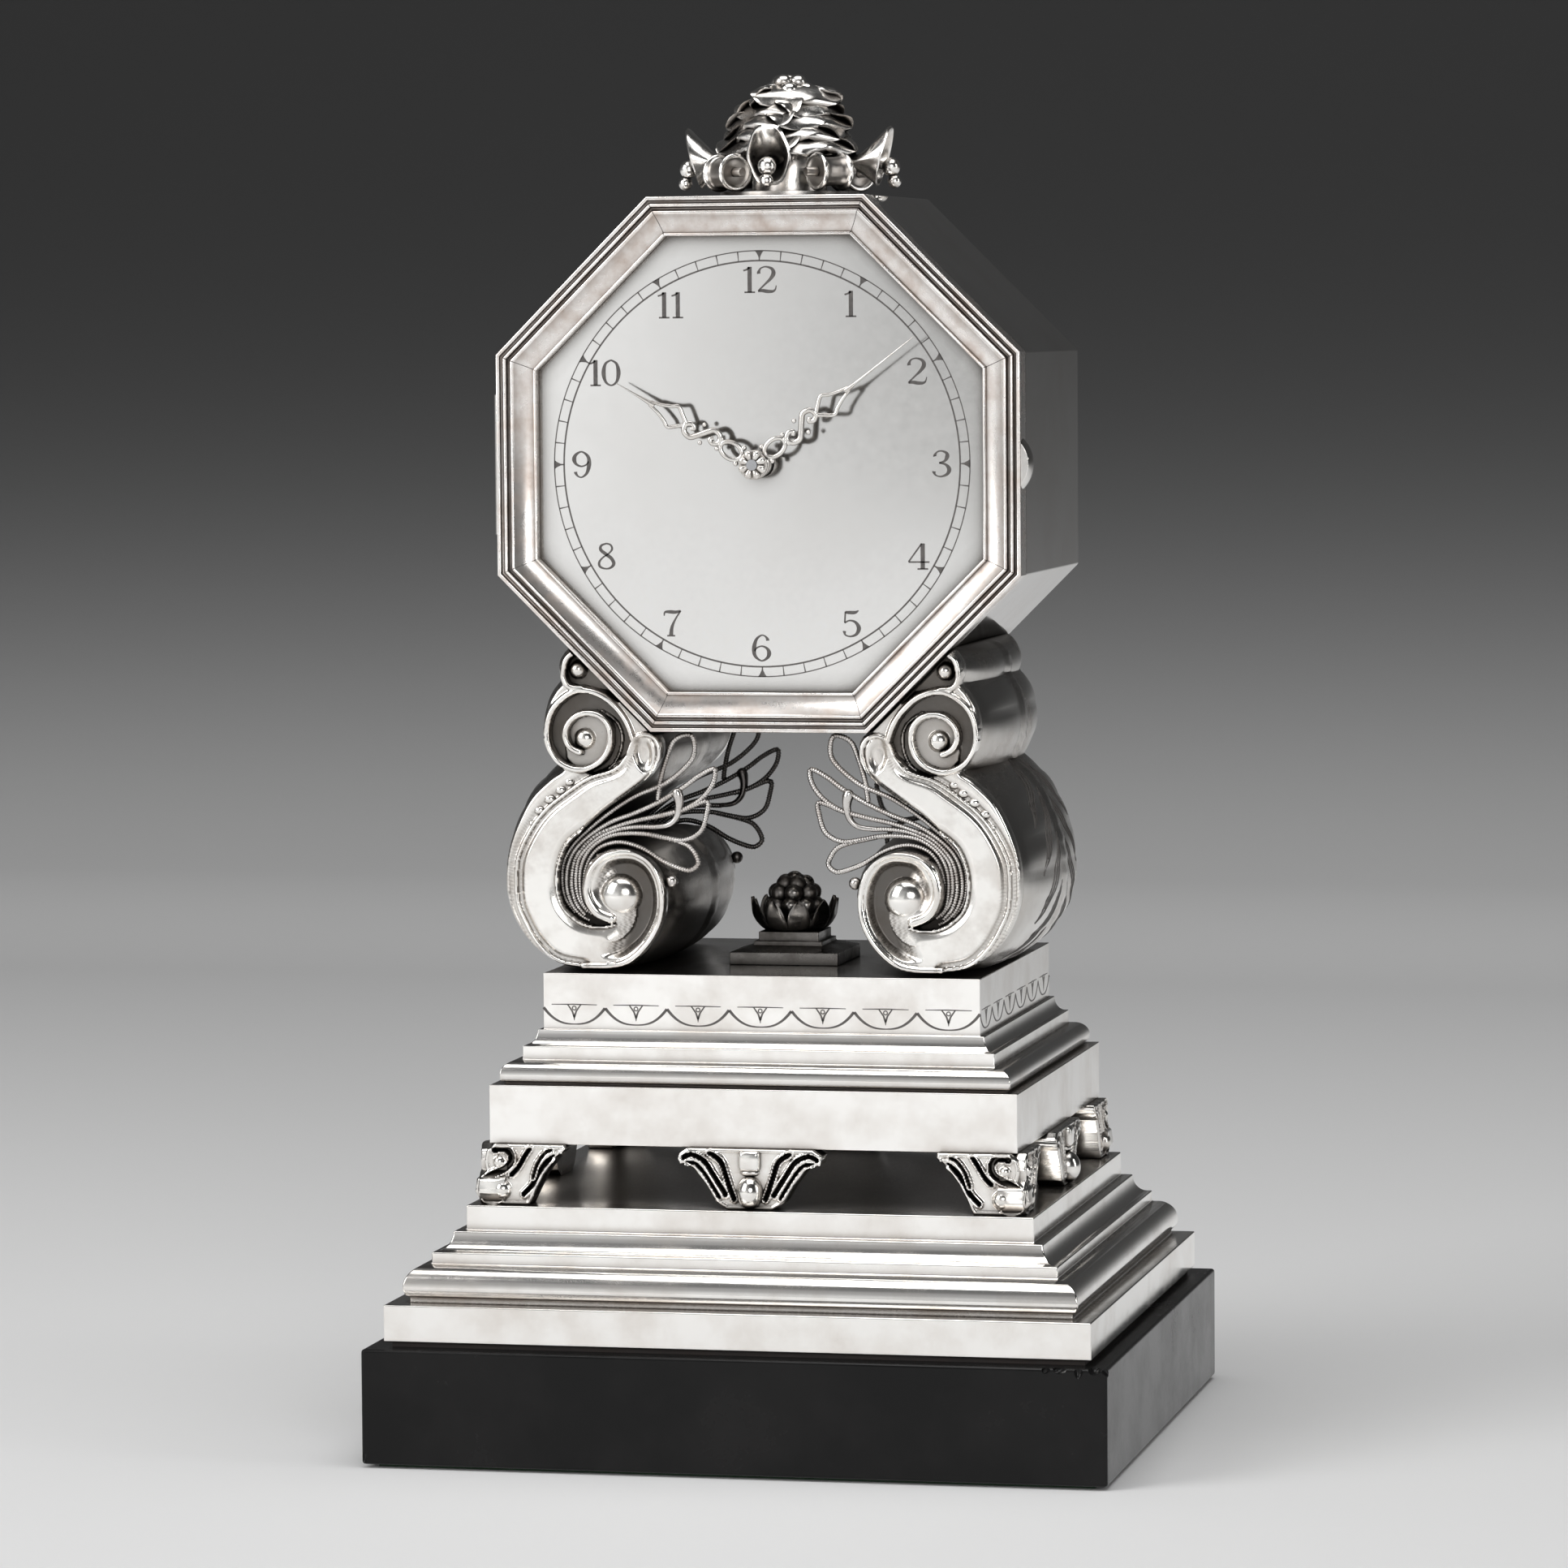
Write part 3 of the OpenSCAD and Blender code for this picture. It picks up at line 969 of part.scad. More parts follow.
module finial_cone() color(silver) translate([0, mid_y, finial_z]) {
  cylinder(r = finial_base_r, h = finial_base_t);
  cylinder(r = stem_r, h = finial_h * 0.42);
  translate([0, 0, finial_h * cone_share]) rotate_extrude() polygon([[0, 0], [cone_r * 0.8, 0],
    [cone_r * 0.36, finial_h * (berry_share - cone_share)], [0, finial_h * (berry_share - cone_share)]]);
  for (i = [0:len(collar_rows) - 1]) collar(collar_rows[i][0] * cone_r, collar_rows[i][1] * finial_h,
    collar_rows[i][2], collar_turn * i);
}
bud_r = 1.9;
module finial_berries() color(silver) difference() {
  translate([0, mid_y, finial_z + finial_h * berry_share]) {
    for (row = [[6, 0.27, 0.01], [3, 0.13, 0.06]], i = [0:row[0] - 1]) rotate(360 / row[0] * i + row[0] * 5)
      translate([row[1] * cone_r, 0, row[2] * finial_h]) sphere(r = bud_r, $fn = 24);
    translate([0, 0, finial_h * (1 - berry_share) - bud_r]) sphere(r = bud_r, $fn = 24);
    cylinder(r = cone_r * 0.2, h = finial_h * 0.08);
  }
  translate([0, mid_y, finial_z]) cylinder(r = cone_r, h = finial_h * berry_share);
}
barrel_ring_r = 4.1;
barrel_at_r = 16;
barrel_len = 6.4;
barrel_body_r = 3.4;
barrel_ring_w = 1.1;
barrel_rod_r = 1;
barrel_rod_l = 12.4;
module finial_barrels() color(silver) for (k = [0:3]) translate([0, mid_y,
  finial_z + finial_base_t + barrel_ring_r])
  rotate(45 + 90 * k) translate([barrel_at_r, 0, 0]) {
    for (row = [[barrel_body_r, barrel_len], [barrel_rod_r, barrel_rod_l]])
      bar(0, 0, -row[1] / 2, row[1] / 2, row[0]);
    for (e = [-1, 1]) bar(0, 0, e * barrel_len / 2 - barrel_ring_w / 2,
      e * barrel_len / 2 + barrel_ring_w / 2, barrel_ring_r);
  }
// Horn-shaped leaf that opens outwards: rows of [reach, height, half width, half height] as shares
horn_shares = [[0.335, 0.29, 0.1, 0.05], [0.5, 0.29, 0.13, 0.06], [0.67, 0.285, 0.16, 0.068], [0.83,
  0.31, 0.195, 0.17],
  [0.93, 0.33, 0.212, 0.25]];
horn_in_shares = [[0.93, 0.33, 0.18, 0.218], [0.83, 0.31, 0.155, 0.135], [0.74, 0.3, 0.12, 0.055]];
horn_lip_share = 0.07;
horn_sides = 14;
function horn_ring(s, lip) = [for (i = [0:horn_sides - 1]) let (a = 360 * i / horn_sides)
  [s[2] * leaf_reach * cos(a), -(s[0] + lip * sin(a)) * leaf_reach,
    finial_z + finial_h * (s[1] + s[3] * sin(a))]];
drop_r1 = 2;
drop_r2 = 1.5;
module finial_leaf() color(silver) translate([0, mid_y, 0]) {
  skin(concat([for (i = [0:len(horn_shares) - 1]) horn_ring(horn_shares[i], horn_lip_share * i / 4)],
    [for (s = horn_in_shares) horn_ring(s, horn_lip_share * (s[0] - 0.5) * 2)]));
  translate([0, -leaf_reach, finial_z + finial_h * 0.24]) sphere(r = drop_r1, $fn = 24);
  translate([0, -leaf_reach - drop_r2 * 0.5,
    finial_z + finial_h * 0.24 - drop_r1 - drop_r2 * 0.7]) sphere(r = drop_r2, $fn = 24);
  wire([for (t = [0:3]) [0, -leaf_reach * (0.66 + 0.11 * t), finial_z + finial_h * (0.3 - 0.015 * t)]],
    drop_r2 * 0.5, 6);
}
module finial_leaf_front() finial_leaf();
module finial_leaf_rear() translate([0, 2 * mid_y, 0]) mirror([0, 1, 0]) finial_leaf();
module finial_leaf_right() translate([0, mid_y, 0]) rotate(90) translate([0, -mid_y, 0]) finial_leaf();
module finial_leaf_left() translate([0, mid_y, 0]) rotate(-90) translate([0, -mid_y, 0]) finial_leaf();

felt_underlay();
stone_base();
leather_sheet();
lower_plinth();
lower_core();
corner_foot_front_left();
corner_foot_front_right();
corner_foot_rear_left();
corner_foot_rear_right();
mid_foot_front();
mid_foot_rear();
mid_foot_left();
mid_foot_right();
upper_plinth();
upper_core();
leg_left();
leg_right();
leg_faces_left();
leg_faces_right();
screws();
spray_front_left();
spray_front_right();
spray_rear_left();
spray_rear_right();
ornament_pedestal();
ornament_calyx();
ornament_berries();
case_shell();
case_hinge_leaf();
hinge_pin();
finial_cone();
finial_berries();
finial_barrels();
finial_leaf_front();
finial_leaf_rear();
finial_leaf_left();
finial_leaf_right();
bezel();
bezel_hinge_leaf();
thumb_piece();
dial_plate();
carrier_plate();
front_plate();
back_plate();
pillars();
mainspring_barrel();
winding_arbor();
click();
centre_arbor();
cannon_pinion();
minute_wheel();
hour_wheel();
third_wheel();
escapement_block();
balance_wheel();
balance_cock();
regulator();
minute_hand();
hour_hand();
hand_rosette();
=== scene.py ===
import json
import random
from math import cos, hypot, pi, radians, sin, tau

import bpy
import numpy as np
from mathutils import Matrix, Vector


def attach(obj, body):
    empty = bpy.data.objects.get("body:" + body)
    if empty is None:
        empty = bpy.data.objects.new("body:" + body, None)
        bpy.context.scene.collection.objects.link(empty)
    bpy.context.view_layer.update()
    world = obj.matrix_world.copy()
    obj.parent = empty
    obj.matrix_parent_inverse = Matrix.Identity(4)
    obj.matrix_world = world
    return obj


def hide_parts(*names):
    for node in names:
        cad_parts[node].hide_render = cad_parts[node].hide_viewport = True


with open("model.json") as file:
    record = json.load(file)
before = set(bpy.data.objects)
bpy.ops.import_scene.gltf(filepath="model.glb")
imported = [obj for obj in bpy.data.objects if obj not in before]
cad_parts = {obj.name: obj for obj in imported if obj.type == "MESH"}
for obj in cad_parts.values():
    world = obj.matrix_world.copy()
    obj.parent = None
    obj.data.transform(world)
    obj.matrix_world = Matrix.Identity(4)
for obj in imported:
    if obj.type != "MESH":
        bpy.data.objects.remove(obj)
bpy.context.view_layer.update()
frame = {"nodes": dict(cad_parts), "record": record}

# Room: a pale sweep of paper under and behind the clock, lit by soft panels, seen by a long lens.
# The paper curves up behind the clock, and painted shade darkens it with height. The lens stands where
# the photographer's stood, a little to the right of the clock and just above its middle.
MM = 0.001


def alone(obj=None):
    """Object mode, and nothing selected but obj."""
    if bpy.context.mode != "OBJECT":
        bpy.ops.object.mode_set(mode="OBJECT")
    bpy.ops.object.select_all(action="DESELECT")
    if obj is not None:
        obj.select_set(True)
        bpy.context.view_layer.objects.active = obj
    return obj


def made():
    """The primitive that was added last, ready for shaping in edit mode."""
    obj = bpy.context.object
    bpy.ops.object.mode_set(mode="EDIT")
    return obj


def modify(obj, kind, **values):
    alone(obj)
    bpy.ops.object.modifier_add(type=kind)
    modifier = obj.modifiers[-1]
    for key, value in values.items():
        setattr(modifier, key, value)
    bpy.ops.object.modifier_apply(modifier=modifier.name)
    return obj


def smooth(obj, angle, flats=False):
    """Smooth shading up to an angle; flats keeps large faces as plain mirrors beside broken edges."""
    alone(obj)
    bpy.ops.object.transform_apply(location=True, rotation=True, scale=True)
    bpy.ops.object.shade_smooth_by_angle(angle=radians(angle))
    if flats:
        modify(obj, "WEIGHTED_NORMAL", weight=100, keep_sharp=True)
    return obj


def feed(node, inputs):
    """Gives inputs of a node, by name or number, their values or the outputs that drive them."""
    for key, value in inputs.items():
        if hasattr(value, "is_linked"):
            node.id_data.links.new(value, node.inputs[key])
        else:
            node.inputs[key].default_value = value


def add_node(nodes, kind, inputs=(), **settings):
    """A shader node with settings of its own and its inputs fed."""
    node = nodes.new("ShaderNode" + kind)
    for key, value in settings.items():
        setattr(node, key, value)
    feed(node, dict(inputs))
    return node


def new_finish(name):
    """A material: itself, its nodes, its Principled shader and the Object coordinates."""
    material = bpy.data.materials.new(name)
    material.use_nodes = True
    nodes = material.node_tree.nodes
    return material, nodes, nodes["Principled BSDF"], add_node(nodes, "TexCoord").outputs["Object"]


def ramp(nodes, level, stops, mode="LINEAR"):
    """The grey that a ramp through (place, grey) stops gives for a level."""
    node = add_node(nodes, "ValToRGB", {"Fac": level})
    node.color_ramp.interpolation = mode
    while len(node.color_ramp.elements) > 1:
        node.color_ramp.elements.remove(node.color_ramp.elements[-1])
    for i, (place, value) in enumerate(stops):
        stop = node.color_ramp.elements.new(place) if i else node.color_ramp.elements[0]
        stop.position, stop.color = place, (value, value, value, 1)
    return node.outputs["Color"]


paper_depth, paper_height, paper_bend, paper_half, paper_half_run = 1.5, 2.6, 0.55, 3.2, 3.9
alone()
bpy.ops.mesh.primitive_plane_add(size=2)
paper = made()
bpy.ops.transform.resize(value=(paper_half, paper_half_run, 1))
bpy.ops.transform.translate(value=(0, paper_depth - paper_bend - paper_half_run, 0))
bpy.ops.mesh.select_all(action="DESELECT")
bpy.ops.object.mode_set(mode="OBJECT")
for edge in paper.data.edges:
    edge.select = all(paper.data.vertices[v].co.y > 0 for v in edge.vertices)
bpy.ops.object.mode_set(mode="EDIT")
bpy.ops.mesh.spin(steps=24, angle=radians(-90), center=(0, paper_depth - paper_bend, paper_bend),
                  axis=(1, 0, 0))
bpy.ops.mesh.extrude_region_move(TRANSFORM_OT_translate={"value": (0, 0, paper_height)})
smooth(paper, 60).name = "paper_sweep"
paper_finish, nodes, shader, place = new_finish("paper sweep")
spot = add_node(nodes, "SeparateXYZ", {"Vector": place}).outputs
# Painted shade: the paper's grey falls from pale at the floor to near black high up the sweep
shade = ramp(nodes, spot["Z"], [(0.0, 0.7), (0.024, 0.5), (0.096, 0.22), (0.167, 0.085), (0.239, 0.048),
                                (0.31, 0.04), (0.42, 0.037)], "B_SPLINE")
# Painted light: the sheet glows for polished metal only, brighter towards the lamps, standing in for the lit
# paper that runs on towards them
nearness = add_node(nodes, "MapRange", {"Value": spot["Y"], "From Min": paper_depth, "From Max": -2.5})
painted_glow = ramp(nodes, nearness.outputs["Result"], [(0.0, 0.02), (0.06, 0.05), (0.14, 0.16), (0.4, 0.16),
                                                (1.0, 0.72)])
metal_ray = add_node(nodes, "LightPath").outputs["Is Glossy Ray"]
for_metal = add_node(nodes, "Math", {0: painted_glow, 1: metal_ray}, operation="MULTIPLY").outputs["Value"]
feed(shader, {"Base Color": shade, "Roughness": 0.9, "Specular IOR Level": 0.1,
              "Emission Color": (1, 1, 1, 1), "Emission Strength": for_metal})
paper.data.materials.append(paper_finish)

# The lens was fitted to the plinth's corners, the octagon's corners and the dial's circle
photo_px, focal_px, sensor_mm = 1932, 8082.7, 36
camera_at, camera_angles = (304.69, -1397.78, 242.26), (-12.4376, -4.0607, -0.4212)
lens = bpy.data.cameras.new("lens")
lens.sensor_width = sensor_mm
lens.lens = sensor_mm * focal_px / photo_px
lens.clip_end = 20
camera = bpy.data.objects.new("camera", lens)
bpy.context.scene.collection.objects.link(camera)
camera.location = Vector(camera_at) * MM
yaw, pitch, roll = (radians(angle) for angle in camera_angles)
ahead = Vector((sin(yaw) * cos(pitch), cos(yaw) * cos(pitch), sin(pitch)))
level = Vector((cos(yaw), -sin(yaw), 0))
right = cos(roll) * level + sin(roll) * level.cross(ahead)
camera.rotation_euler = Matrix((right, right.cross(ahead), -ahead)).transposed().to_euler()
bpy.context.scene.camera = camera
bpy.context.scene.view_settings.view_transform = "Standard"

for name, spot, aim, size, power in (
    ("panel_left", (-1.15, -1.05, 0.95), (0, 0, 0.15), (0.9, 1.2), 17),
    ("panel_top", (0.1, -0.25, 1.45), (0, 0, 0.15), (1.2, 0.9), 12),
    ("panel_front", (0.75, -2.2, 0.75), (0, 0, 0.15), (1.0, 0.7), 13),
    ("strip_right", (1.35, -0.2, 0.5), (0, 0, 0.15), (0.25, 0.9), 3),
):
    lamp = bpy.data.lights.new(name, "AREA")
    lamp.shape, lamp.size, lamp.size_y, lamp.energy = "RECTANGLE", size[0], size[1], power
    panel = bpy.data.objects.new(name, lamp)
    bpy.context.scene.collection.objects.link(panel)
    panel.location = spot
    panel.rotation_euler = (Vector(spot) - Vector(aim)).to_track_quat("Z", "Y").to_euler()

world = bpy.data.worlds.new("room")
bpy.context.scene.world = world
world.use_nodes = True
nodes = world.node_tree.nodes
sky = add_node(nodes, "TexCoord").outputs["Generated"]
tall = add_node(nodes, "SeparateXYZ", {"Vector": sky}).outputs["Z"]
half_up = add_node(nodes, "Math", {0: tall, 1: 0.5, 2: 0.5}, operation="MULTIPLY_ADD").outputs["Value"]
walls = ramp(nodes, half_up, [(0.0, 0.5), (0.47, 0.62), (0.53, 0.56), (0.66, 0.3), (0.85, 0.16), (1.0, 0.5)],
             "EASE")
# What polished metal sees: a bright studio in front and to the left, darker to the right and behind
facing = add_node(nodes, "VectorMath", {0: sky, 1: (-0.38, -0.92, 0.05)},
                  operation="DOT_PRODUCT").outputs["Value"]
studio = ramp(nodes, facing, [(0.0, 0.3), (0.5, 0.45), (0.8, 1.5), (1.0, 1.9)], "EASE")
haze = add_node(nodes, "TexNoise", {"Vector": sky, "Scale": 3.5, "Detail": 2}).outputs["Fac"]
drift = ramp(nodes, haze, [(0.35, 0.78), (0.65, 1.1)], "EASE")
# A darker wall stands behind the lens on the right, which the dial shows as a cloudy shade
aside = add_node(nodes, "VectorMath", {0: sky, 1: (1, 0, -0.38)}, operation="DOT_PRODUCT").outputs["Value"]
mist = add_node(nodes, "TexNoise", {"Vector": sky, "Scale": 55, "Detail": 3}).outputs["Fac"]
edge = add_node(nodes, "Math", {0: mist, 1: 0.022, 2: aside}, operation="MULTIPLY_ADD").outputs["Value"]
dusk = add_node(nodes, "MapRange", {"Value": edge, "From Min": -0.224, "From Max": -0.165, "To Min": 1.12,
                                    "To Max": 0.38}).outputs["Result"]
for_metal = walls
for shade in (studio, drift, dusk):
    mix = add_node(nodes, "Mix", {"Factor": 1, "A": for_metal, "B": shade}, data_type="RGBA",
                   blend_type="MULTIPLY")
    for_metal = mix.outputs["Result"]
metal_ray = add_node(nodes, "LightPath").outputs["Is Glossy Ray"]
seen = add_node(nodes, "Mix", {"Factor": metal_ray, "A": walls, "B": for_metal}, data_type="RGBA")
feed(nodes["Background"], {"Color": seen.outputs["Result"], "Strength": 0.75})

# Stone base: one block of black polished stone, its edges barely broken, on a thin felt.
# It was sawn, ground and polished; a few shallow flakes are gone from the top edge at the front right
# corner, where the stone shows matt and a little paler.
stone_w, stone_d, stone_low, stone_top = 160, 147.6, 0.8, 25.3


def marks_group():
    """Handling marks of a polished or cast surface: cloudy tarnish, fine scratches, and dark recesses of
    oxide and painted shade.
    """
    group = bpy.data.node_groups.new("handling marks", "ShaderNodeTree")
    for way, kind, names in (
        ("INPUT", "Vector", ("Vector",)), ("INPUT", "Color", ("Metal", "Stain", "Dark")),
        ("INPUT", "Float", ("Recess", "Cloud size", "Cloud", "Smooth", "Dull", "Grain size", "Grain")),
        ("OUTPUT", "Color", ("Color",)), ("OUTPUT", "Float", ("Roughness", "Height")),
    ):
        for name in names:
            group.interface.new_socket(name=name, in_out=way, socket_type="NodeSocket" + kind)
    nodes = group.nodes
    given = nodes.new("NodeGroupInput").outputs

    def noise(size, detail, rough):
        inputs = {"Vector": given["Vector"], "Scale": given[size], "Detail": detail, "Roughness": rough}
        return add_node(nodes, "TexNoise", inputs).outputs["Fac"]

    def sum_of(kind, a, b, clamp=False):
        return add_node(nodes, "Math", {0: a, 1: b}, operation=kind, use_clamp=clamp).outputs["Value"]

    def blend(share, a, b):
        return add_node(nodes, "Mix", {"Factor": share, "A": a, "B": b}, data_type="RGBA").outputs["Result"]

    cloud = add_node(nodes, "MapRange", {"Value": noise("Cloud size", 6, 0.6), "From Min": 0.42,
                                         "From Max": 0.72})
    stain = sum_of("MULTIPLY", cloud.outputs["Result"], given["Cloud"], True)
    rim = sum_of("MULTIPLY", given["Recess"], 1.0, True)
    stained = sum_of("ADD", stain, sum_of("MULTIPLY", rim, 0.6), True)
    colour = blend(stained, given["Metal"], given["Stain"])
    colour = blend(sum_of("POWER", rim, 1.4), colour, given["Dark"])
    grain = noise("Grain size", 3, 0.7)
    dull = sum_of("MULTIPLY", sum_of("MAXIMUM", stained, rim), given["Dull"])
    rough = sum_of("ADD", given["Smooth"], dull)
    rough = sum_of("ADD", rough, sum_of("MULTIPLY", sum_of("SUBTRACT", grain, 0.5), 0.08), True)
    height = sum_of("MULTIPLY", grain, given["Grain"])
    feed(nodes.new("NodeGroupOutput"), {"Color": colour, "Roughness": rough, "Height": height})
    return group


MARKS = marks_group()


def worn(name, metal, stain, dark, smooth_at, dull, cloud, cloud_size, recess=0.0, reach=1.5, grain=0.1,
         grain_size=900, metallic=1.0, bump=0.00002, painted_gap_shade=0.0):
    """A finish with handling marks; hollows within reach (mm) go dark by recess, with oxide and on some
    finishes painted shade, and deep narrow gaps go dark with painted shade by the gap amount.
    """
    material, nodes, shader, place = new_finish(name)
    marks = add_node(nodes, "Group", {
        "Vector": place, "Metal": (*metal, 1), "Stain": (*stain, 1), "Dark": (*dark, 1), "Smooth": smooth_at,
        "Dull": dull, "Cloud": cloud, "Cloud size": cloud_size, "Grain": grain, "Grain size": grain_size,
    }, node_tree=MARKS)

    def hidden(within_mm, open_share, closed_share, most):
        """How deep a place lies in a hollow, from the share of free view round it."""
        view = add_node(nodes, "AmbientOcclusion", {"Distance": within_mm * MM}, samples=8).outputs["AO"]
        spread = {"Value": view, "From Min": open_share, "From Max": closed_share, "To Max": most}
        return add_node(nodes, "MapRange", spread).outputs["Result"]

    def most_of(a, b):
        return add_node(nodes, "Math", {0: a, 1: b}, operation="MAXIMUM").outputs["Value"]

    if recess:
        oxide = add_node(nodes, "Attribute", attribute_name="oxide").outputs["Fac"]
        shade = most_of(hidden(reach, 0.95, 0.35, recess), oxide)
        # Painted shade: ambient occlusion within 40 mm blackens deep narrow gaps
        if painted_gap_shade:
            shade = most_of(hidden(40, 0.42, 0.2, painted_gap_shade), shade)
        feed(marks, {"Recess": shade})
    relief = add_node(nodes, "Bump", {"Distance": bump, "Strength": 0.5, "Height": marks.outputs["Height"]})
    feed(shader, {"Base Color": marks.outputs["Color"], "Roughness": marks.outputs["Roughness"],
                  "Normal": relief.outputs["Normal"], "Metallic": metallic})
    return material


def coat(node, finish):
    """Gives a CAD node that stays in sight its finish."""
    mesh = frame["nodes"][node].data
    mesh.materials.clear()
    mesh.materials.append(finish)


def keep(piece, name, finish, body, slot, *nodes):
    """Names a finished piece, gives it its finish and puts it on its body in place of its CAD nodes."""
    alone(piece)
    bpy.ops.object.transform_apply(location=True, rotation=True, scale=True)
    piece.name = piece.data.name = name
    piece.data.materials.clear()
    piece.data.materials.append(finish)
    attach(piece, body)
    if nodes:
        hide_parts(*nodes)
    return piece


stone_finish = worn("black polished stone", (0.006, 0.006, 0.006), (0.016, 0.015, 0.015),
                    (0.004, 0.004, 0.004), 0.2, 0.2, 0.5, 45, grain=0.4, grain_size=700, metallic=0.0)
feed(stone_finish.node_tree.nodes["Principled BSDF"], {"Specular IOR Level": 0.16})
alone()
bpy.ops.mesh.primitive_cube_add(size=1)
stone = made()
bpy.ops.transform.resize(value=(stone_w * MM, stone_d * MM, (stone_top - stone_low) * MM))
bpy.ops.transform.translate(value=(0, 0, (stone_top + stone_low) / 2 * MM))
bpy.ops.mesh.bevel(offset=0.7 * MM, segments=3, affect="EDGES")
bpy.ops.object.mode_set(mode="OBJECT")
random.seed(4)
# Flakes along the front edge: (x, height over the top, size)
flakes = ((67.5, 0.1, 1.2), (70.5, 0.3, 1.7), (74, 0.0, 1.4), (77.4, 0.2, 2.0), (79.9, 0.4, 1.9),
          (-79.6, -22.8, 1.1))
for x, lift, size in flakes:
    alone()
    bpy.ops.mesh.primitive_ico_sphere_add(
        subdivisions=2, radius=size * MM, location=Vector((x, -stone_d / 2 - 0.3, stone_top + lift)) * MM,
        rotation=[random.random() * 6 for _ in range(3)], scale=(1.6, 0.75, 0.7))
    flake = bpy.context.object
    modify(stone, "BOOLEAN", object=flake, operation="DIFFERENCE", solver="EXACT")
    bpy.data.objects.remove(flake)
keep(smooth(stone, 40, flats=True), "stone_block", stone_finish, "stand", "stone", "stone_base")

felt_finish = worn("green felt", (0.03, 0.06, 0.035), (0.05, 0.09, 0.05), (0.02, 0.03, 0.02), 0.9, 0.05, 0.6,
                   300, grain=1.0, grain_size=2500, metallic=0.0, bump=0.0002)
leather_finish = worn("thin dark leather", (0.02, 0.014, 0.012), (0.05, 0.035, 0.028), (0.01, 0.008, 0.006),
                      0.55, 0.3, 0.5, 150, grain=1.0, grain_size=1500, metallic=0.0, bump=0.0002)
coat("felt_underlay", felt_finish)
coat("leather_sheet", leather_finish)

# Plinths: two hollow stepped tiers of sheet silver, drawn mouldings mitred and soldered at the corners.
# Each slab is flat and polished; the quarter rounds and hollows between them hold a brown tarnish where
# the cloth does not reach. The top block carries an engraved band of cusped arcs.
# Painted shade blackens the deep gap between the two tiers, where the feet stand
silver_finish = worn("polished silver", (0.87, 0.855, 0.83), (0.5, 0.42, 0.35), (0.06, 0.05, 0.045), 0.13,
                     0.25, 0.35, 70, recess=0.75, reach=2.2, grain=0.25, painted_gap_shade=0.93)
# Half of what every tier is less deep than wide
depth_less = 6.2


def outwards(piece, weld=0.0):
    """Welds points nearer than weld (mm) and turns every face outwards."""
    alone(piece)
    bpy.ops.object.mode_set(mode="EDIT")
    bpy.ops.mesh.select_all(action="SELECT")
    if weld:
        bpy.ops.mesh.remove_doubles(threshold=weld * MM)
    bpy.ops.mesh.normals_make_consistent(inside=False)
    bpy.ops.object.mode_set(mode="OBJECT")
    return piece


def tier(rows, name, *nodes):
    """Rectangular tier: a plate drawn up through rows of [half width, height]."""
    alone()
    bpy.ops.mesh.primitive_plane_add(size=2, location=(0, 0, rows[0][1] * MM))
    piece = made()
    width, depth = 1, 1
    for step, (half, z) in enumerate(rows):
        if step:
            rise = (z - rows[step - 1][1]) * MM
            bpy.ops.mesh.extrude_region_move(TRANSFORM_OT_translate={"value": (0, 0, rise)})
        bpy.ops.transform.resize(value=(half * MM / width, (half - depth_less) * MM / depth, 1),
                                 center_override=(0, 0, z * MM))
        width, depth = half * MM, (half - depth_less) * MM
    modify(outwards(piece), "BEVEL", width=0.3 * MM, segments=3, limit_method="ANGLE",
           angle_limit=radians(38))
    return keep(smooth(piece, 40, flats=True), name, silver_finish, "stand", "silver", *nodes)


def quarter_round(a0, z0, a1, z1, bulge):
    """Rows of a quarter round (bulge 1) or a hollow (bulge -1) from one corner to the other."""
    rows, steps = [], 9
    for i in range(steps + 1):
        t = radians(90 * i / steps)
        if bulge > 0:
            rows.append((a1 + (a0 - a1) * cos(t), z0 + (z1 - z0) * sin(t)))
        else:
            rows.append((a1 + (a0 - a1) * (1 - sin(t)), z0 + (z1 - z0) * (1 - cos(t))))
    return rows


tier([(76, 26.4), (76, 34.3), (71.4, 34.35), (71.4, 35.4), (72.3, 36.0), (72.7, 37.2)]
     + quarter_round(72.7, 37.6, 68.2, 42.1, 1)
     + [(67.6, 42.15), (67.6, 44.6)] + quarter_round(67.2, 44.6, 63.8, 48.7, -1)
     + [(61.5, 48.75), (61.5, 54.0)],
     "lower_tier", "lower_plinth")
tier([(57.3, 66.9), (57.3, 79.4), (54.4, 79.45), (54.4, 79.8), (55.3, 80.1), (55.5, 81.2)]
     + quarter_round(55.5, 81.4, 52.2, 84.3, 1)
     + [(51.4, 84.35), (51.4, 87.2)] + quarter_round(51.0, 87.2, 48.7, 90.5, -1)
     + [(47.65, 90.55), (47.65, 102.6)],
     "upper_tier", "upper_plinth")

# Case: an octagonal box of sheet silver, open at the front, with the door's hinge at its left edge.
# The walls are flat, polished and softly worn at the corners; hinge leaves and pin are let in flush.
def dress(node, finish, body, slot, edge, segments=2):
    """A copy of a CAD node, its flat faces joined, edges broken and curves smooth, to stand for it."""
    source = frame["nodes"][node]
    piece = source.copy()
    piece.data = source.data.copy()
    bpy.context.scene.collection.objects.link(piece)
    placed = source.matrix_world.copy()
    piece.parent = None
    piece.matrix_world = placed
    alone(piece)
    bpy.ops.object.mode_set(mode="EDIT")
    bpy.ops.mesh.select_all(action="SELECT")
    bpy.ops.mesh.remove_doubles(threshold=0.002 * MM)
    bpy.ops.mesh.dissolve_limited(angle_limit=radians(0.5))
    bpy.ops.mesh.normals_make_consistent(inside=False)
    modify(piece, "BEVEL", width=edge * MM, segments=segments, limit_method="ANGLE", angle_limit=radians(30))
    return keep(smooth(piece, 42, flats=True), "fine_" + node, finish, body, slot, node)


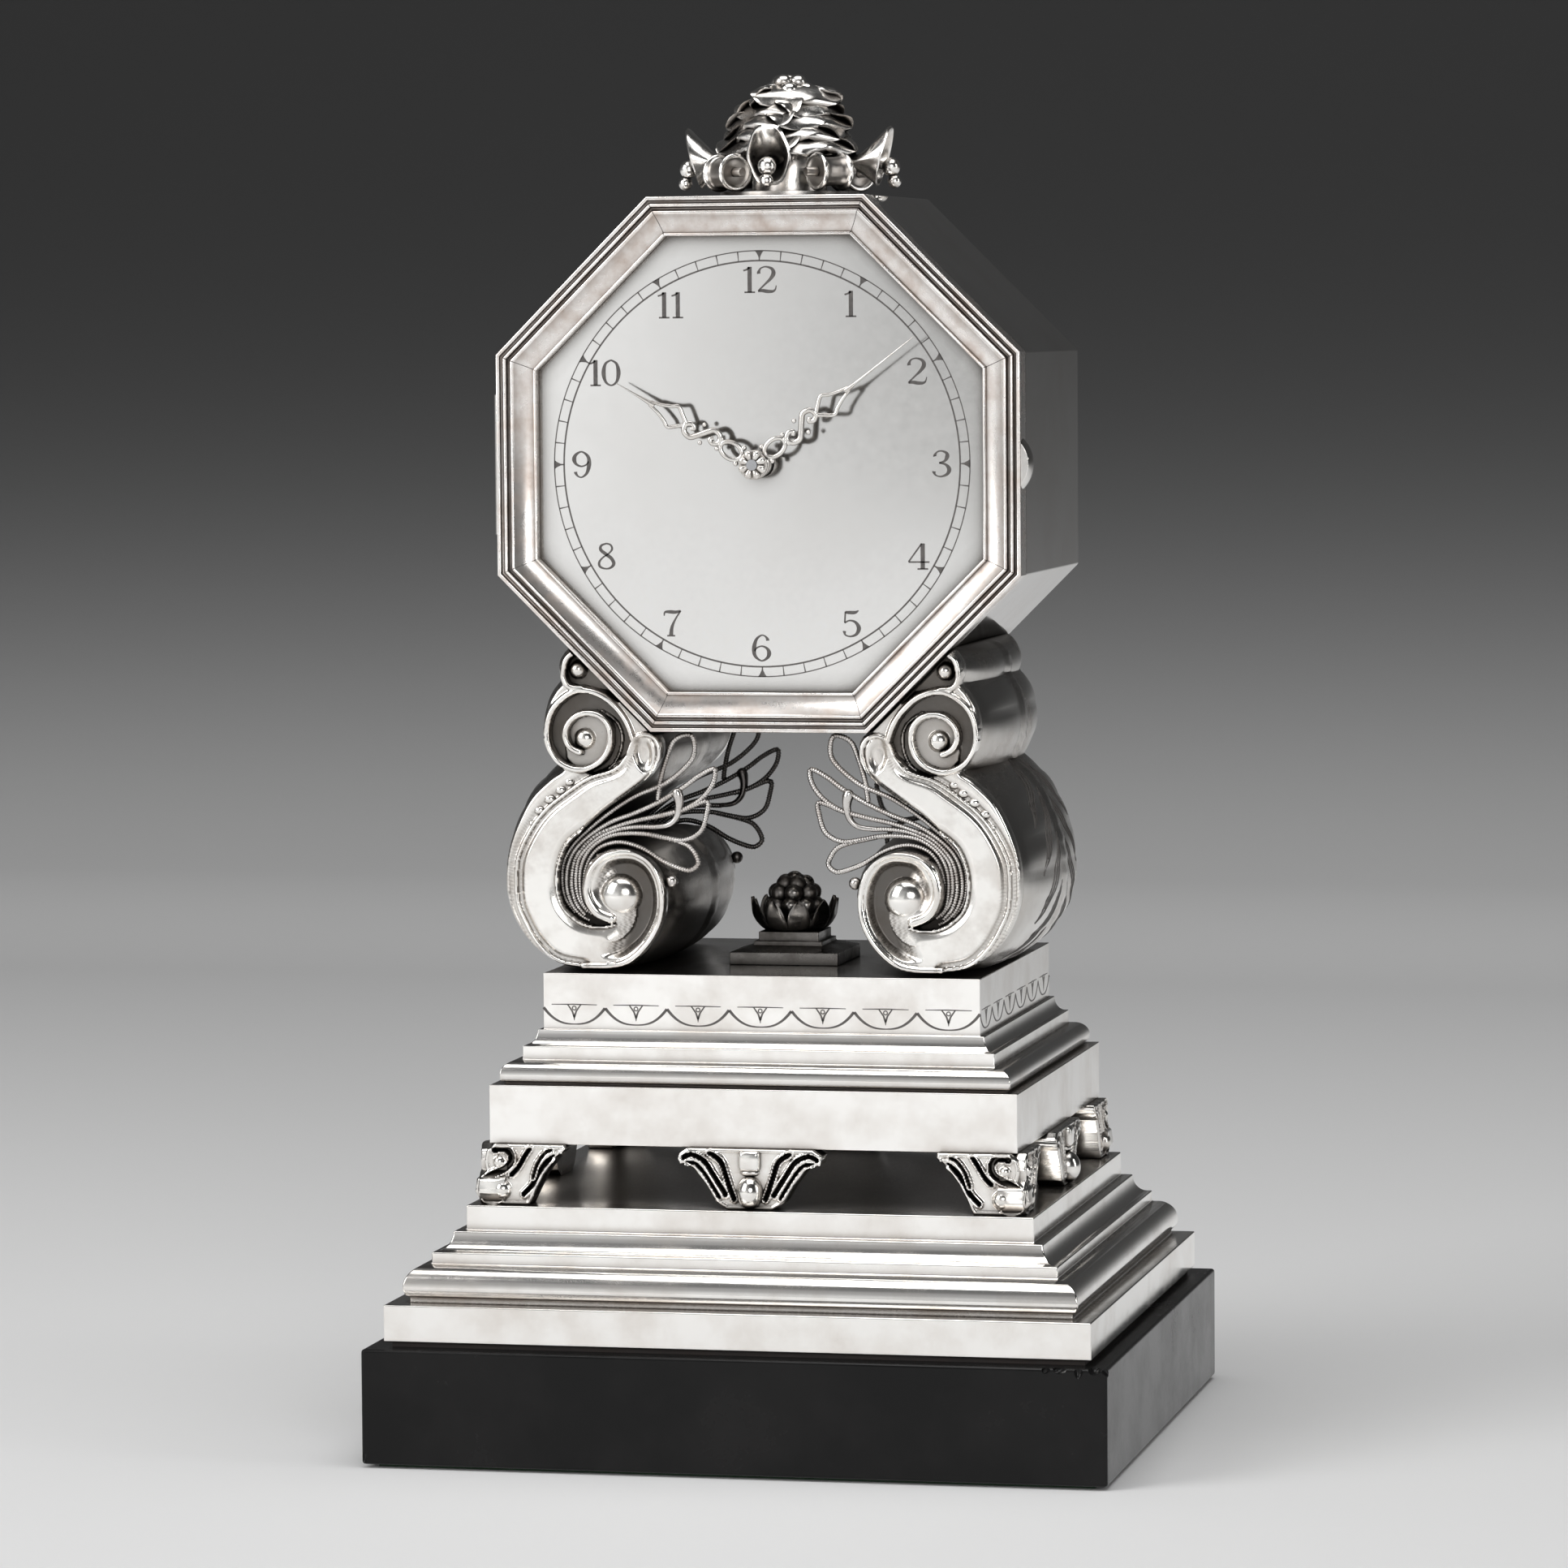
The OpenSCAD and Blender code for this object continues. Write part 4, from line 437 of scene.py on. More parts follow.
case_finish = worn("worn sheet silver", (0.8, 0.785, 0.765), (0.5, 0.43, 0.37), (0.06, 0.05, 0.045), 0.06,
                   0.14, 0.3, 50, recess=0.8, reach=2.5, grain=0.3, grain_size=400)
dress("case_shell", case_finish, "stand", "silver", edge=0.35, segments=3)
for node, body in (("case_hinge_leaf", "stand"), ("bezel_hinge_leaf", "front"), ("thumb_piece", "front")):
    dress(node, silver_finish, body, "silver", edge=0.08)

# Bezel: a moulded octagonal frame, its eight lengths of drawn moulding mitred and soldered.
# From outside: a rolled edge, two fillets with deep grooves between, a wide polished hollow that is
# mottled by tarnish, and a narrow ridge where it meets the dial.
dial_z, bezel_rear, dial_y = 211.4, -35.1, -36.8
case_apothem = 56.85
corner = 1 / cos(radians(22.5))


def turned(rows, steps, start, centre, axis):
    """A closed ring: a line of (radius, place along the axis) points turned about axis Y or Z."""
    alone()
    bpy.ops.mesh.primitive_plane_add(size=1 * MM)
    piece = made()
    bpy.ops.mesh.merge(type="CENTER")
    points = [Vector((r * cos(start), y, r * sin(start))) if axis == "Y" else
              Vector((r * cos(start), r * sin(start), y)) for r, y in rows]
    points = [(Vector(centre) + point) * MM for point in points]
    bpy.ops.transform.translate(value=points[0])
    for last, point in zip(points, points[1:]):
        bpy.ops.mesh.extrude_region_move(TRANSFORM_OT_translate={"value": point - last})
    bpy.ops.mesh.select_all(action="SELECT")
    bpy.ops.mesh.spin(steps=steps, angle=tau, center=Vector(centre) * MM,
                      axis=(0, 1, 0) if axis == "Y" else (0, 0, 1))
    return outwards(piece, 0.0005)


def oxide_on(piece, amount):
    """Marks each point of a piece with an amount from 0 to 1 of oxide and, on the hands, painted shade."""
    marks = alone(piece).data.attributes.new("oxide", "FLOAT", "POINT")
    for spot, mark in zip(piece.data.vertices, marks.data):
        mark.value = amount(spot)
    return piece


def arc(a, y, radius, first, last, steps=6):
    """Points of an arc about (a, y); 0 degrees points outwards, 90 degrees towards the viewer."""
    return [(a + radius * cos(radians(first + (last - first) * i / steps)),
             y - radius * sin(radians(first + (last - first) * i / steps))) for i in range(steps + 1)]


moulding = [(case_apothem, bezel_rear), *arc(56.5, -41.25, 0.35, 0, 90), *arc(56.3, -41.3, 0.3, 90, 180),
            (55.98, -40.75), (55.8, -40.6), (55.5, -40.6), (55.36, -40.75),
            *arc(54.97, -41.05, 0.38, 0, 180, 10), (54.55, -40.35), (54.4, -40.22), (54.05, -40.22),
            (53.9, -40.35), *arc(53.45, -40.72, 0.42, 0, 150, 10)]
hollow_from, hollow_to = Vector((52.98, -40.85)), Vector((49.2, -38.95))
for i in range(15):
    share = i / 14
    point = hollow_from.lerp(hollow_to, share)
    moulding.append((point.x - 0.2 * sin(pi * share), point.y + 0.42 * sin(pi * share)))
moulding += [*arc(48.78, -39.3, 0.33, 30, 180, 6), (48.45, dial_y), (51.45, dial_y), (51.45, bezel_rear)]
moulding.append(moulding[0])
bezel = turned([(a * corner, y) for a, y in moulding], 8, radians(22.5), (0, 0, dial_z), "Y")
bezel_finish = worn("drawn silver moulding", (0.88, 0.855, 0.83), (0.52, 0.42, 0.36), (0.05, 0.04, 0.034),
                    0.22, 0.22, 0.7, 170, recess=1.0, reach=1.6, grain=0.5, grain_size=700, bump=0.00006)


def hollow_oxide(spot):
    """Tarnish over the wide hollow, stronger towards its two edges."""
    apothem = hypot(spot.co.x / MM, spot.co.z / MM - dial_z) / corner
    share = (hollow_from.x - apothem) / (hollow_from.x - hollow_to.x)
    in_hollow = 0 <= share <= 1 and spot.co.y < dial_y * MM
    return 0.2 + 0.26 * abs(2 * share - 1) ** 1.5 if in_hollow else 0.0


keep(smooth(oxide_on(bezel, hollow_oxide), 40), "moulded_bezel", bezel_finish, "front", "silver", "bezel")

# Dial: a silvered plate with an engraved minute track and upright numerals, filled with dark wax.
# Track, ticks, hour marks and numerals lie a hair proud of the plate, as wax does in shallow engraving.
ink_out, ink_in = 0.035, 0.05


def eased(points, steps, closed=False):
    """A smooth line through points of any number of values, with steps pieces between two of them."""
    points = [np.array(point, dtype=float) for point in points]
    count = len(points)
    line = []
    for i in range(count if closed else count - 1):
        a, b, c, d = (points[(i + k) % count] if closed else points[min(max(i + k, 0), count - 1)]
                      for k in (-1, 0, 1, 2))
        for j in range(steps):
            t = j / steps
            line.append(0.5 * (2 * b + (c - a) * t + (2 * a - 5 * b + 4 * c - d) * t * t
                               + (3 * b - a - 3 * c + d) * t ** 3))
    return line if closed else line + [points[-1]]


def table(numbers, each=2):
    """Flat rows of whole thousandths as points with each values."""
    return [tuple(number / 1000 for number in numbers[i:i + each]) for i in range(0, len(numbers), each)]


def solid(verts, faces):
    """A mesh object from points in mm, its faces turned outwards."""
    mesh = bpy.data.meshes.new("solid")
    mesh.from_pydata([Vector(point) * MM for point in verts], [], faces)
    piece = bpy.data.objects.new("solid", mesh)
    bpy.context.scene.collection.objects.link(piece)
    return outwards(piece)


def inked(lines, place):
    """Flat closed strips along lines of (u, v, width) points; place puts (u, v, out) on the surface."""
    verts, faces = [], []
    for line, closed in lines:
        count, first = len(line), len(verts)
        for i, (x, z, width) in enumerate(line):
            ahead = line[(i + 1) % count] if closed or i + 1 < count else line[i]
            behind = line[i - 1] if closed or i else line[i]
            side = Vector((-(ahead[1] - behind[1]), ahead[0] - behind[0])).normalized() * width / 2
            for sign in (1, -1):
                for out in (ink_out, -ink_in):
                    verts.append(place(x + sign * side.x, z + sign * side.y, out))
        for i in range(count if closed else count - 1):
            a, b = first + 4 * i, first + 4 * ((i + 1) % count)
            faces += [(a, b, b + 2, a + 2), (a + 1, a + 3, b + 3, b + 1), (a, a + 1, b + 1, b),
                      (a + 2, b + 2, b + 3, a + 3)]
        if not closed:
            last = first + 4 * (count - 1)
            faces += [(first, first + 2, first + 3, first + 1), (last, last + 1, last + 3, last + 2)]
    return solid(verts, faces)


track_out, track_in, thin, bold = 45.2, 43.1, 0.2, 0.32


def clockwise(radius, turn):
    """The point at a radius, turned clockwise from twelve."""
    return radius * sin(turn), radius * cos(turn)


rings = ((track_out, thin), (track_in, bold))
lines = [([(*clockwise(radius, tau * i / 180), width) for i in range(180)], True) for radius, width in rings]
# Marks of the hours, wedges in three steps, and of the minutes: (radius, width) from the outer ring inwards
hour_mark = ((track_out, 1.9), (track_out - 0.5, 1.1), (track_out - 1.3, 0.35), (track_in, 0.16))
minute_mark = ((track_out, 0.26), (track_in, 0.12))
for minute in range(60):
    turn = tau * minute / 60
    mark = minute_mark if minute % 5 else hour_mark
    for (r0, w0), (r1, w1) in zip(mark, mark[1:]):
        lines.append(([(*clockwise(r0, turn), w0), (*clockwise(r1, turn), w1)], False))

# Strokes of the figures: rows of x, z and width in thousandths of the figure's height
hair, stem = 52, 150
figures = {
    "0": [(300, 980, hair, 130, 840, 90, 70, 500, stem, 130, 160, 90, 300, 20, hair, 470, 160, 90, 530, 500,
           stem, 470, 840, 90, 300, 980, hair)],
    "1": [(240, 20, stem, 240, 980, stem), (240, 960, 70, 150, 880, 60, 50, 840, hair),
          (80, 20, hair, 400, 20, hair)],
    "2": [(100, 720, 130, 100, 780, 110, 160, 920, 50, 320, 980, hair, 500, 900, 100, 550, 730, stem, 460,
           530, 110, 270, 300, 60, 80, 70, hair),
          (80, 50, hair, 200, 80, 110, 360, 50, 120, 520, 50, 90, 600, 120, 50, 630, 270, 30)],
    "3": [(130, 780, 120, 130, 820, 100, 200, 940, hair, 330, 980, hair, 480, 900, 100, 500, 760, stem, 420,
           600, 80, 260, 530, hair),
          (260, 530, hair, 450, 470, 80, 560, 290, stem, 490, 100, 100, 300, 15, hair, 150, 70, hair, 100,
           170, 100, 100, 210, 130)],
    "4": [(450, 980, hair, 50, 290, hair), (50, 280, hair, 680, 280, hair), (480, 20, stem, 480, 980, stem),
          (320, 20, hair, 640, 20, hair)],
    "5": [(130, 930, 90, 300, 920, 120, 440, 930, 100, 530, 1000, 30), (130, 950, hair, 110, 530, hair),
          (110, 530, hair, 260, 620, hair, 440, 550, 90, 540, 330, stem, 460, 100, 100, 280, 15, hair, 130,
           70, hair, 100, 180, 100, 100, 220, 120)],
    "6": [(500, 780, 120, 490, 840, 100, 420, 950, hair, 300, 980, 50, 150, 820, 100, 80, 500, stem, 110,
           200, 110, 300, 15, hair, 480, 120, 100, 540, 300, stem, 480, 480, 90, 320, 570, hair, 160, 500,
           hair, 100, 380, hair)],
    "7": [(70, 780, 30, 100, 920, 70, 270, 930, 120, 420, 920, 110, 580, 970, 60),
          (580, 970, hair, 420, 660, 60, 310, 350, 110, 280, 40, 150), (160, 20, hair, 400, 20, hair)],
    "8": [(320, 980, hair, 160, 900, 80, 140, 740, 110, 300, 570, 120, 460, 420, 120, 540, 220, 120, 460, 70,
           80, 300, 15, hair, 120, 90, 80, 90, 260, 80, 200, 440, hair, 380, 590, hair, 490, 760, 70, 450,
           920, 60, 320, 980, hair)],
}
figures = {figure: [table(stroke, 3) for stroke in strokes] for figure, strokes in figures.items()}
figures["9"] = [[(0.62 - x, 1 - z, w) for x, z, w in stroke] for stroke in figures["6"]]
# Height of the figures, radius of their middles, their widening and the strength of their strokes
figure_h, figure_at, figure_wide, figure_bold = 5.6, 39.1, 1.27, 1.06
for hour in range(1, 13):
    figure = str(hour)
    widths = [0.42 if digit == "1" else 0.66 for digit in figure]
    x, z = clockwise(figure_at, tau * hour / 12)
    x, z = x - sum(widths) * figure_h * figure_wide / 2, z - figure_h / 2
    for digit, width in zip(figure, widths):
        for stroke in figures[digit]:
            line = eased(stroke, 6) if len(stroke) > 2 else stroke
            lines.append(([(x + u * figure_h * figure_wide, z + v * figure_h, w * figure_h * figure_bold)
                           for u, v, w in line], False))
        x += width * figure_h * figure_wide
ink_finish = worn("dark wax", (0.09, 0.083, 0.08), (0.15, 0.14, 0.13), (0.04, 0.04, 0.04), 0.35, 0.2, 0.6,
                  900, metallic=0.3)
keep(inked(lines, lambda x, z, out: (x, dial_y - out, dial_z + z)), "track_and_numerals", ink_finish,
     "front", "oxidised_silver")
# Painted shade and painted reflection of the bezel's inner wall: ambient occlusion within 5 mm darkens the
# dial beside it
dial_finish = worn("silvered dial", (0.86, 0.855, 0.84), (0.74, 0.72, 0.69), (0.12, 0.11, 0.1), 0.1, 0.1,
                   0.25, 25, recess=1.3, reach=5, grain=0.1, grain_size=300, bump=0.000008)
coat("dial_plate", dial_finish)

# Hands: cast and chased silver, each an open oval, an S scroll with beads and a hollow spear.
# They are riveted to their pipes and held by a small rosette of eight petals.
def wire(points, radius, closed=False, sides=3):
    """A round wire through points in mm, its radius given once or for each point."""
    alone()
    line = bpy.data.curves.new("wire", "CURVE")
    line.dimensions, line.bevel_depth, line.bevel_resolution = "3D", MM, sides
    line.use_fill_caps = not closed
    spline = line.splines.new("POLY")
    spline.points.add(len(points) - 1)
    spline.use_cyclic_u = closed
    for i, (spot, point) in enumerate(zip(spline.points, points)):
        spot.co = (*(Vector(point) * MM), 1)
        spot.radius = radius if isinstance(radius, (int, float)) else radius[i]
    piece = bpy.data.objects.new("wire", line)
    bpy.context.scene.collection.objects.link(piece)
    alone(piece)
    bpy.ops.object.convert(target="MESH")
    return outwards(bpy.context.object, 0.0005)


def ball(centre, radius, scale=(1, 1, 1), rings=16):
    alone()
    bpy.ops.mesh.primitive_uv_sphere_add(segments=2 * rings, ring_count=rings, radius=radius * MM,
                                         location=Vector(centre) * MM, scale=scale)
    piece = bpy.context.object
    bpy.ops.object.transform_apply(location=True, rotation=True, scale=True)
    return piece


def flattened(piece, middle):
    """The piece made thinner than its wires are round, about middle (mm)."""
    alone(piece)
    bpy.ops.object.mode_set(mode="EDIT")
    bpy.ops.mesh.select_all(action="SELECT")
    bpy.ops.transform.resize(value=(1, 0.62, 1), center_override=(0, middle * MM, 0))
    bpy.ops.object.mode_set(mode="OBJECT")
    return piece


def joined(pieces):
    alone(pieces[0])
    for piece in pieces:
        piece.select_set(True)
    bpy.ops.object.join()
    return bpy.context.object


hand_finish = worn("chased silver", (0.72, 0.7, 0.67), (0.42, 0.37, 0.33), (0.05, 0.045, 0.04), 0.2, 0.25,
                   0.6, 300, recess=1.0, reach=1.2, grain=0.4)
curl = [(-1.75, 0.3), (-1.35, -0.15), (-2.0, -0.5), (-2.7, 0.1), (-2.4, 1.15), (-1.35, 1.45), (-0.6, 0.75),
        (0, 0)]
scroll = curl + [(-a, -b) for a, b in curl[-2::-1]]


def hand(name, body, node, middle, length, turn):
    """A hand lying along its own line (along, across), then turned clockwise from twelve."""
    def at(points):
        return [(b * cos(turn) + a * sin(turn), middle, dial_z + a * cos(turn) - b * sin(turn))
                for a, b in points]

    oval = [(5.95 + 2.5 * cos(tau * i / 40), 1.7 * sin(tau * i / 40)) for i in range(40)]
    pieces = [wire(at(oval), 0.52, closed=True)]
    spiral = eased([(13.2 + 1.5 * a, 1.35 * b) for a, b in scroll], 8)
    count = len(spiral)
    pieces.append(wire(at(spiral), [0.42 + 0.24 * sin(pi * i / (count - 1)) ** 0.7 for i in range(count)]))
    for side in (1, -1):
        spear = eased([(17.4, side * 0.2), (18.5, side * 1.1), (20.4, side * 2.45), (21.8, side * 1.75),
                       (23.8, side * 0.95), (26.2, side * 0.35)], 6)
        pieces.append(wire(at(spear), [0.5 - 0.15 * i / len(spear) for i in range(len(spear))]))
        pellets = ((3.8, 1.85, 0.6), (8.9, 1.15, 0.5), (13.2 + side * 0.5, 1.9, 0.5))
        pieces += [ball(at([(a, side * b)])[0], r, rings=10) for a, b, r in pellets]
    blade = eased([(25.2, 0), (27.0, 0), (30, 0), (length, 0)], 5)
    pieces.append(wire(at(blade), [0.62 * (1 - i / len(blade)) ** 1.2 + 0.06 for i in range(len(blade))]))
    pieces.append(ball(at([(8.7, 0)])[0], 0.6, rings=10))
    pieces.append(ball(at([(17.3, 0)])[0], 0.6, rings=10))
    piece = flattened(joined(pieces), middle)
    alone()
    bpy.ops.mesh.primitive_cylinder_add(vertices=32, radius=3.1 * MM, depth=0.55 * MM,
                                        location=(0, middle * MM, dial_z * MM), rotation=(pi / 2, 0, 0))
    hub = bpy.context.object
    modify(hub, "BEVEL", width=0.15 * MM, segments=2)
    # Painted shade darkens the flanks and the back, and so their reflection in the dial, which keeps the
    # hand clear of its own reflection
    piece = oxide_on(joined([piece, hub]), lambda spot: min(0.95, max(0.0, (spot.normal.y + 0.8) / 0.3)))
    return keep(smooth(piece, 45), name, hand_finish, body, "blued", node)


hand("chased_hour_hand", "hour", "hour_hand", -42.45, 34.8, radians(300))
hand("chased_minute_hand", "centre", "minute_hand", -44.25, 43.8, radians(52.3))
petals, rosette_y = [], -45.35
for i in range(8):
    turn = tau * (i + 0.5) / 8
    spine = [(r * sin(turn), rosette_y, dial_z + r * cos(turn)) for r in (0.3, 0.9, 1.6, 2.2, 2.75, 3.05)]
    petals.append(wire(spine, [0.16, 0.42, 0.66, 0.82, 0.7, 0.3], sides=4))
keep(smooth(flattened(joined(petals), rosette_y), 45), "petal_rosette", hand_finish, "centre", "blued",
     "hand_rosette")

# Mitres: the eight joints of the bezel's moulding, where a dark line of solder shows in the hollow.
# Each line is a hair of dark metal that follows the moulding from the outer fillets to the inner ridge.
joint_line = [(a * corner, y - 0.015) for a, y in moulding if 48.6 < a < 55.2 and y < -38]
joints = []
for i in range(8):
    turn = radians(22.5 + 45 * i)
    joints.append(wire([(a * cos(turn), y, dial_z + a * sin(turn)) for a, y in joint_line], 0.07, sides=1))
keep(joined(joints), "mitre_lines", ink_finish, "front", "oxidised_silver")

# Legs: two cast silver scrolls, each as deep as the case, that carry it between them.
# The sides swell and meet at a granulated cord; long leaves are chased from the cord to the faces.
leg_reach, leg_h, up_top, mid_y = 56, 51.95, 102.6, -6.15
floor_y, rear_floor = -36.75, 24.45
# The right leg's outline: rows of x, z and the share of the swell, in thousandths of its reach and height
leg_shares = (746, 516, 0, 700, 589, 0, 616, 670, 200, 518, 743, 400, 436, 812, 500, 391, 885, 600, 382, 947,
              600, 404, 993, 300, 464, 1057, 0, 589, 1199, 0, 688, 1309, 0, 736, 1347, 0, 779, 1301, 800,
              789, 1251, 1000, 779, 1201, 1000, 804, 1166, 1000, 836, 1105, 1000, 850, 1028, 1000, 841, 947,
              1000, 804, 878, 1000, 777, 843, 1100, 830, 801, 1000, 904, 724, 1000, 957, 620, 1000, 991, 516,
              1000, 1005, 412, 1000, 998, 304, 1000, 961, 198, 900, 893, 104, 700, 804, 40, 450, 714, 19,
              300, 589, 17, 300, 504, 44, 450, 436, 110, 700, 391, 196, 900, 373, 296, 1000, 388, 391, 1000,
              438, 468, 900, 511, 508, 600, 586, 514, 400, 657, 487, 100, 725, 481, 0)


def on_leg(shares, each=2):
    """Thousandths of the leg's reach and height as points (x, z, ...) in mm on the right leg."""
    return [(s[0] * leg_reach, up_top + s[1] * leg_h, *s[2:]) for s in table(shares, each)]


def moved(piece, matrix):
    """The piece with its mesh turned, moved or mirrored by a matrix given in mm."""
    matrix = matrix.copy()
    matrix.translation *= MM
    piece.data.transform(matrix)
    return outwards(piece)


def twin_of(piece):
    twin = piece.copy()
    twin.data = piece.data.copy()
    bpy.context.scene.collection.objects.link(twin)
    return twin


def mirrored(piece, axis, middle=0.0):
    """A copy of the piece on the other side of a plane through middle (mm)."""
    way = Vector((1, 0, 0)) if axis == "X" else Vector((0, 1, 0))
    return moved(twin_of(piece), Matrix.Translation(2 * middle * way) @ Matrix.Scale(-1, 4, way))


def skinned(rings, sides):
    """Faces between closed rings of points, sides points to each, with both ends closed."""
    faces = []
    for ring in range(rings - 1):
        for k in range(sides):
            a, b = ring * sides + k, ring * sides + (k + 1) % sides
            faces.append((a, b, b + sides, a + sides))
    return faces + [tuple(range(sides)), tuple(range((rings - 1) * sides, rings * sides))[::-1]]


def octagon_cutter(apothem, y0, y1):
    alone()
    bpy.ops.mesh.primitive_cylinder_add(vertices=8, radius=apothem * corner * MM, depth=(y1 - y0) * MM,
                                        location=(0, (y0 + y1) / 2 * MM, dial_z * MM),
                                        rotation=(pi / 2, 0, 0))
    cutter = bpy.context.object
    bpy.ops.object.mode_set(mode="EDIT")
    bpy.ops.transform.rotate(value=radians(22.5), orient_axis="Y", center_override=(0, 0, dial_z * MM))
    bpy.ops.object.mode_set(mode="OBJECT")
    bpy.ops.object.transform_apply(location=True, rotation=True, scale=True)
    return cutter


def carve(piece, cutter):
    modify(piece, "BOOLEAN", object=cutter, operation="DIFFERENCE", solver="EXACT")
    bpy.data.objects.remove(cutter)


leg_edge = eased(on_leg(leg_shares, 3), 5, closed=True)
swell, stations, leg_deep = 3.6, 40, rear_floor - floor_y
# The skin: for each point of the outline its run, x, z, the way out (x, z) and the share of the swell
count = len(leg_edge)
run, skin = 0.0, []
for i, (x, z, weight) in enumerate(leg_edge):
    ahead, behind = leg_edge[(i + 1) % count], leg_edge[i - 1]
    out = Vector((-(ahead[1] - behind[1]), ahead[0] - behind[0])).normalized()
    run += hypot(x - behind[0], z - behind[1])
    skin.append((run, x, z, out.x, out.y, weight))
skin = np.array(skin)


def on_flank(u, v, proud=0.0):
    """The point of a leg's side u mm along its outline, v mm behind its front and proud mm off it."""
    x, z, out_x, out_z, weight = (float(np.interp(u, skin[:, 0], skin[:, k])) for k in range(1, 6))
    share = v / leg_deep
    body = sin(pi * share) ** 0.62
    leaf_zone = sin(pi * min(1, 2.05 * min(share, 1 - share))) ** 0.8
    lift = weight * (swell * 0.9 * body + 0.45 * leaf_zone * abs(sin(pi * u / 6.5)) ** 0.6)
    if abs(share - 0.5) < 0.03:
        lift = weight * (swell * 1.08 + 0.12 * cos(tau * u / 1.6))
    return (x + out_x * (lift + proud), floor_y + v, z + out_z * (lift + proud))


verts = [on_flank(row[0], leg_deep * station / stations) for station in range(stations + 1) for row in skin]
cast_finish = worn("cast silver", (0.86, 0.845, 0.815), (0.5, 0.43, 0.37), (0.02, 0.018, 0.016), 0.15, 0.28,
                   0.45, 110, recess=1.0, reach=3.0, grain=0.25, grain_size=500, bump=0.00003)
# Painted shade: the leg sides take a darker copy of cast silver, with ambient occlusion reaching 26 mm
shaded_flank_finish = worn("cast silver flanks", (0.68, 0.665, 0.64), (0.34, 0.29, 0.25), (0.02, 0.018, 0.016),
                    0.17, 0.26, 0.6, 45, recess=0.95, reach=26, grain=0.25, grain_size=500, bump=0.00003)
leg = solid(verts, skinned(stations + 1, count))
# Cut clear of the case by one clearance and of the wider bezel in front of it by another
case_clear, bezel_clear, bezel_back = 0.03, 0.65, -34.8
carve(leg, octagon_cutter(case_apothem + case_clear, floor_y - 5, rear_floor + 5))
carve(leg, octagon_cutter(case_apothem + bezel_clear, floor_y - 5, bezel_back))
other = mirrored(leg, "X")
keep(smooth(leg, 50), "scroll_leg_right", shaded_flank_finish, "stand", "cast_silver", "leg_right")
keep(smooth(other, 50), "scroll_leg_left", shaded_flank_finish, "stand", "cast_silver", "leg_left")
# Long pointed leaves are engraved on the outer sides, in pairs that fall away from the cord
first_leaf, leaf_pitch, leaf_long, leaf_proud = skin[100][0] + 1, 9.5, 17, 0.09
lines = []
for i in range(5):
    for side in (-1, 1):
        for bulge in (-2.3, 0, 2.3):
            line = []
            for k in range(15):
                t = k / 14 if bulge else 0.08 + 0.75 * k / 14
                aside = 2.6 + 17 * t ** 1.3 + bulge * sin(pi * t)
                line.append((first_leaf + leaf_pitch * i + leaf_long * t, leg_deep / 2 + side * aside,
                             0.2 + 0.22 * sin(pi * t)))
            lines.append((line, False))
leaves = inked(lines, lambda u, v, out: on_flank(u, v, out + leaf_proud))
keep(joined([leaves, mirrored(leaves, "X")]), "engraved_leaves", ink_finish, "stand", "oxidised_silver")

# Leg faces: the chased fronts of the scrolls, worked in relief with rolled rims.
# A dished band runs from the lower volute, with its ball and curled tail, up to the lobe and the upper
# volute with its spiral; the trough that the wires leave is deep and black with oxide.
def near(points, path, closed=False):
    """Distance of each point to a line, and how far along it (0 to 1) the nearest place is."""
    path = np.array([p[:2] for p in path], dtype=float)
    best, along = np.full(len(points), 1e9), np.zeros(len(points))
    pieces = len(path) if closed else len(path) - 1
    for i in range(pieces):
        start, step = path[i], path[(i + 1) % len(path)] - path[i]
        share = np.clip((points - start) @ step / max(step @ step, 1e-12), 0, 1)
        distance = np.hypot(*(points - start - share[:, None] * step).T)
        closer = distance < best
        best[closer], along[closer] = distance[closer], (i + share[closer]) / pieces
    return best, along


def within(points, path):
    path = np.array([p[:2] for p in path], dtype=float)
    odd = np.zeros(len(points), dtype=bool)
    for a, b in zip(path, np.roll(path, -1, axis=0)):
        if a[1] != b[1]:
            crosses = (a[1] > points[:, 1]) != (b[1] > points[:, 1])
            odd ^= crosses & (points[:, 0] < (b[0] - a[0]) * (points[:, 1] - a[1]) / (b[1] - a[1]) + a[0])
    return odd


def signed(points, path):
    distance = near(points, path, closed=True)[0]
    return np.where(within(points, path), distance, -distance)


def slope(value):
    share = np.clip(value, 0, 1)
    return share * share * (3 - 2 * share)


def bead(height, distance, radius, top):
    """The height with a round bead laid on it where the distance is less than its radius."""
    round_top = top - radius + np.sqrt(np.maximum(radius ** 2 - distance ** 2, 0))
    return np.maximum(height, np.where(distance < radius, round_top, 0))


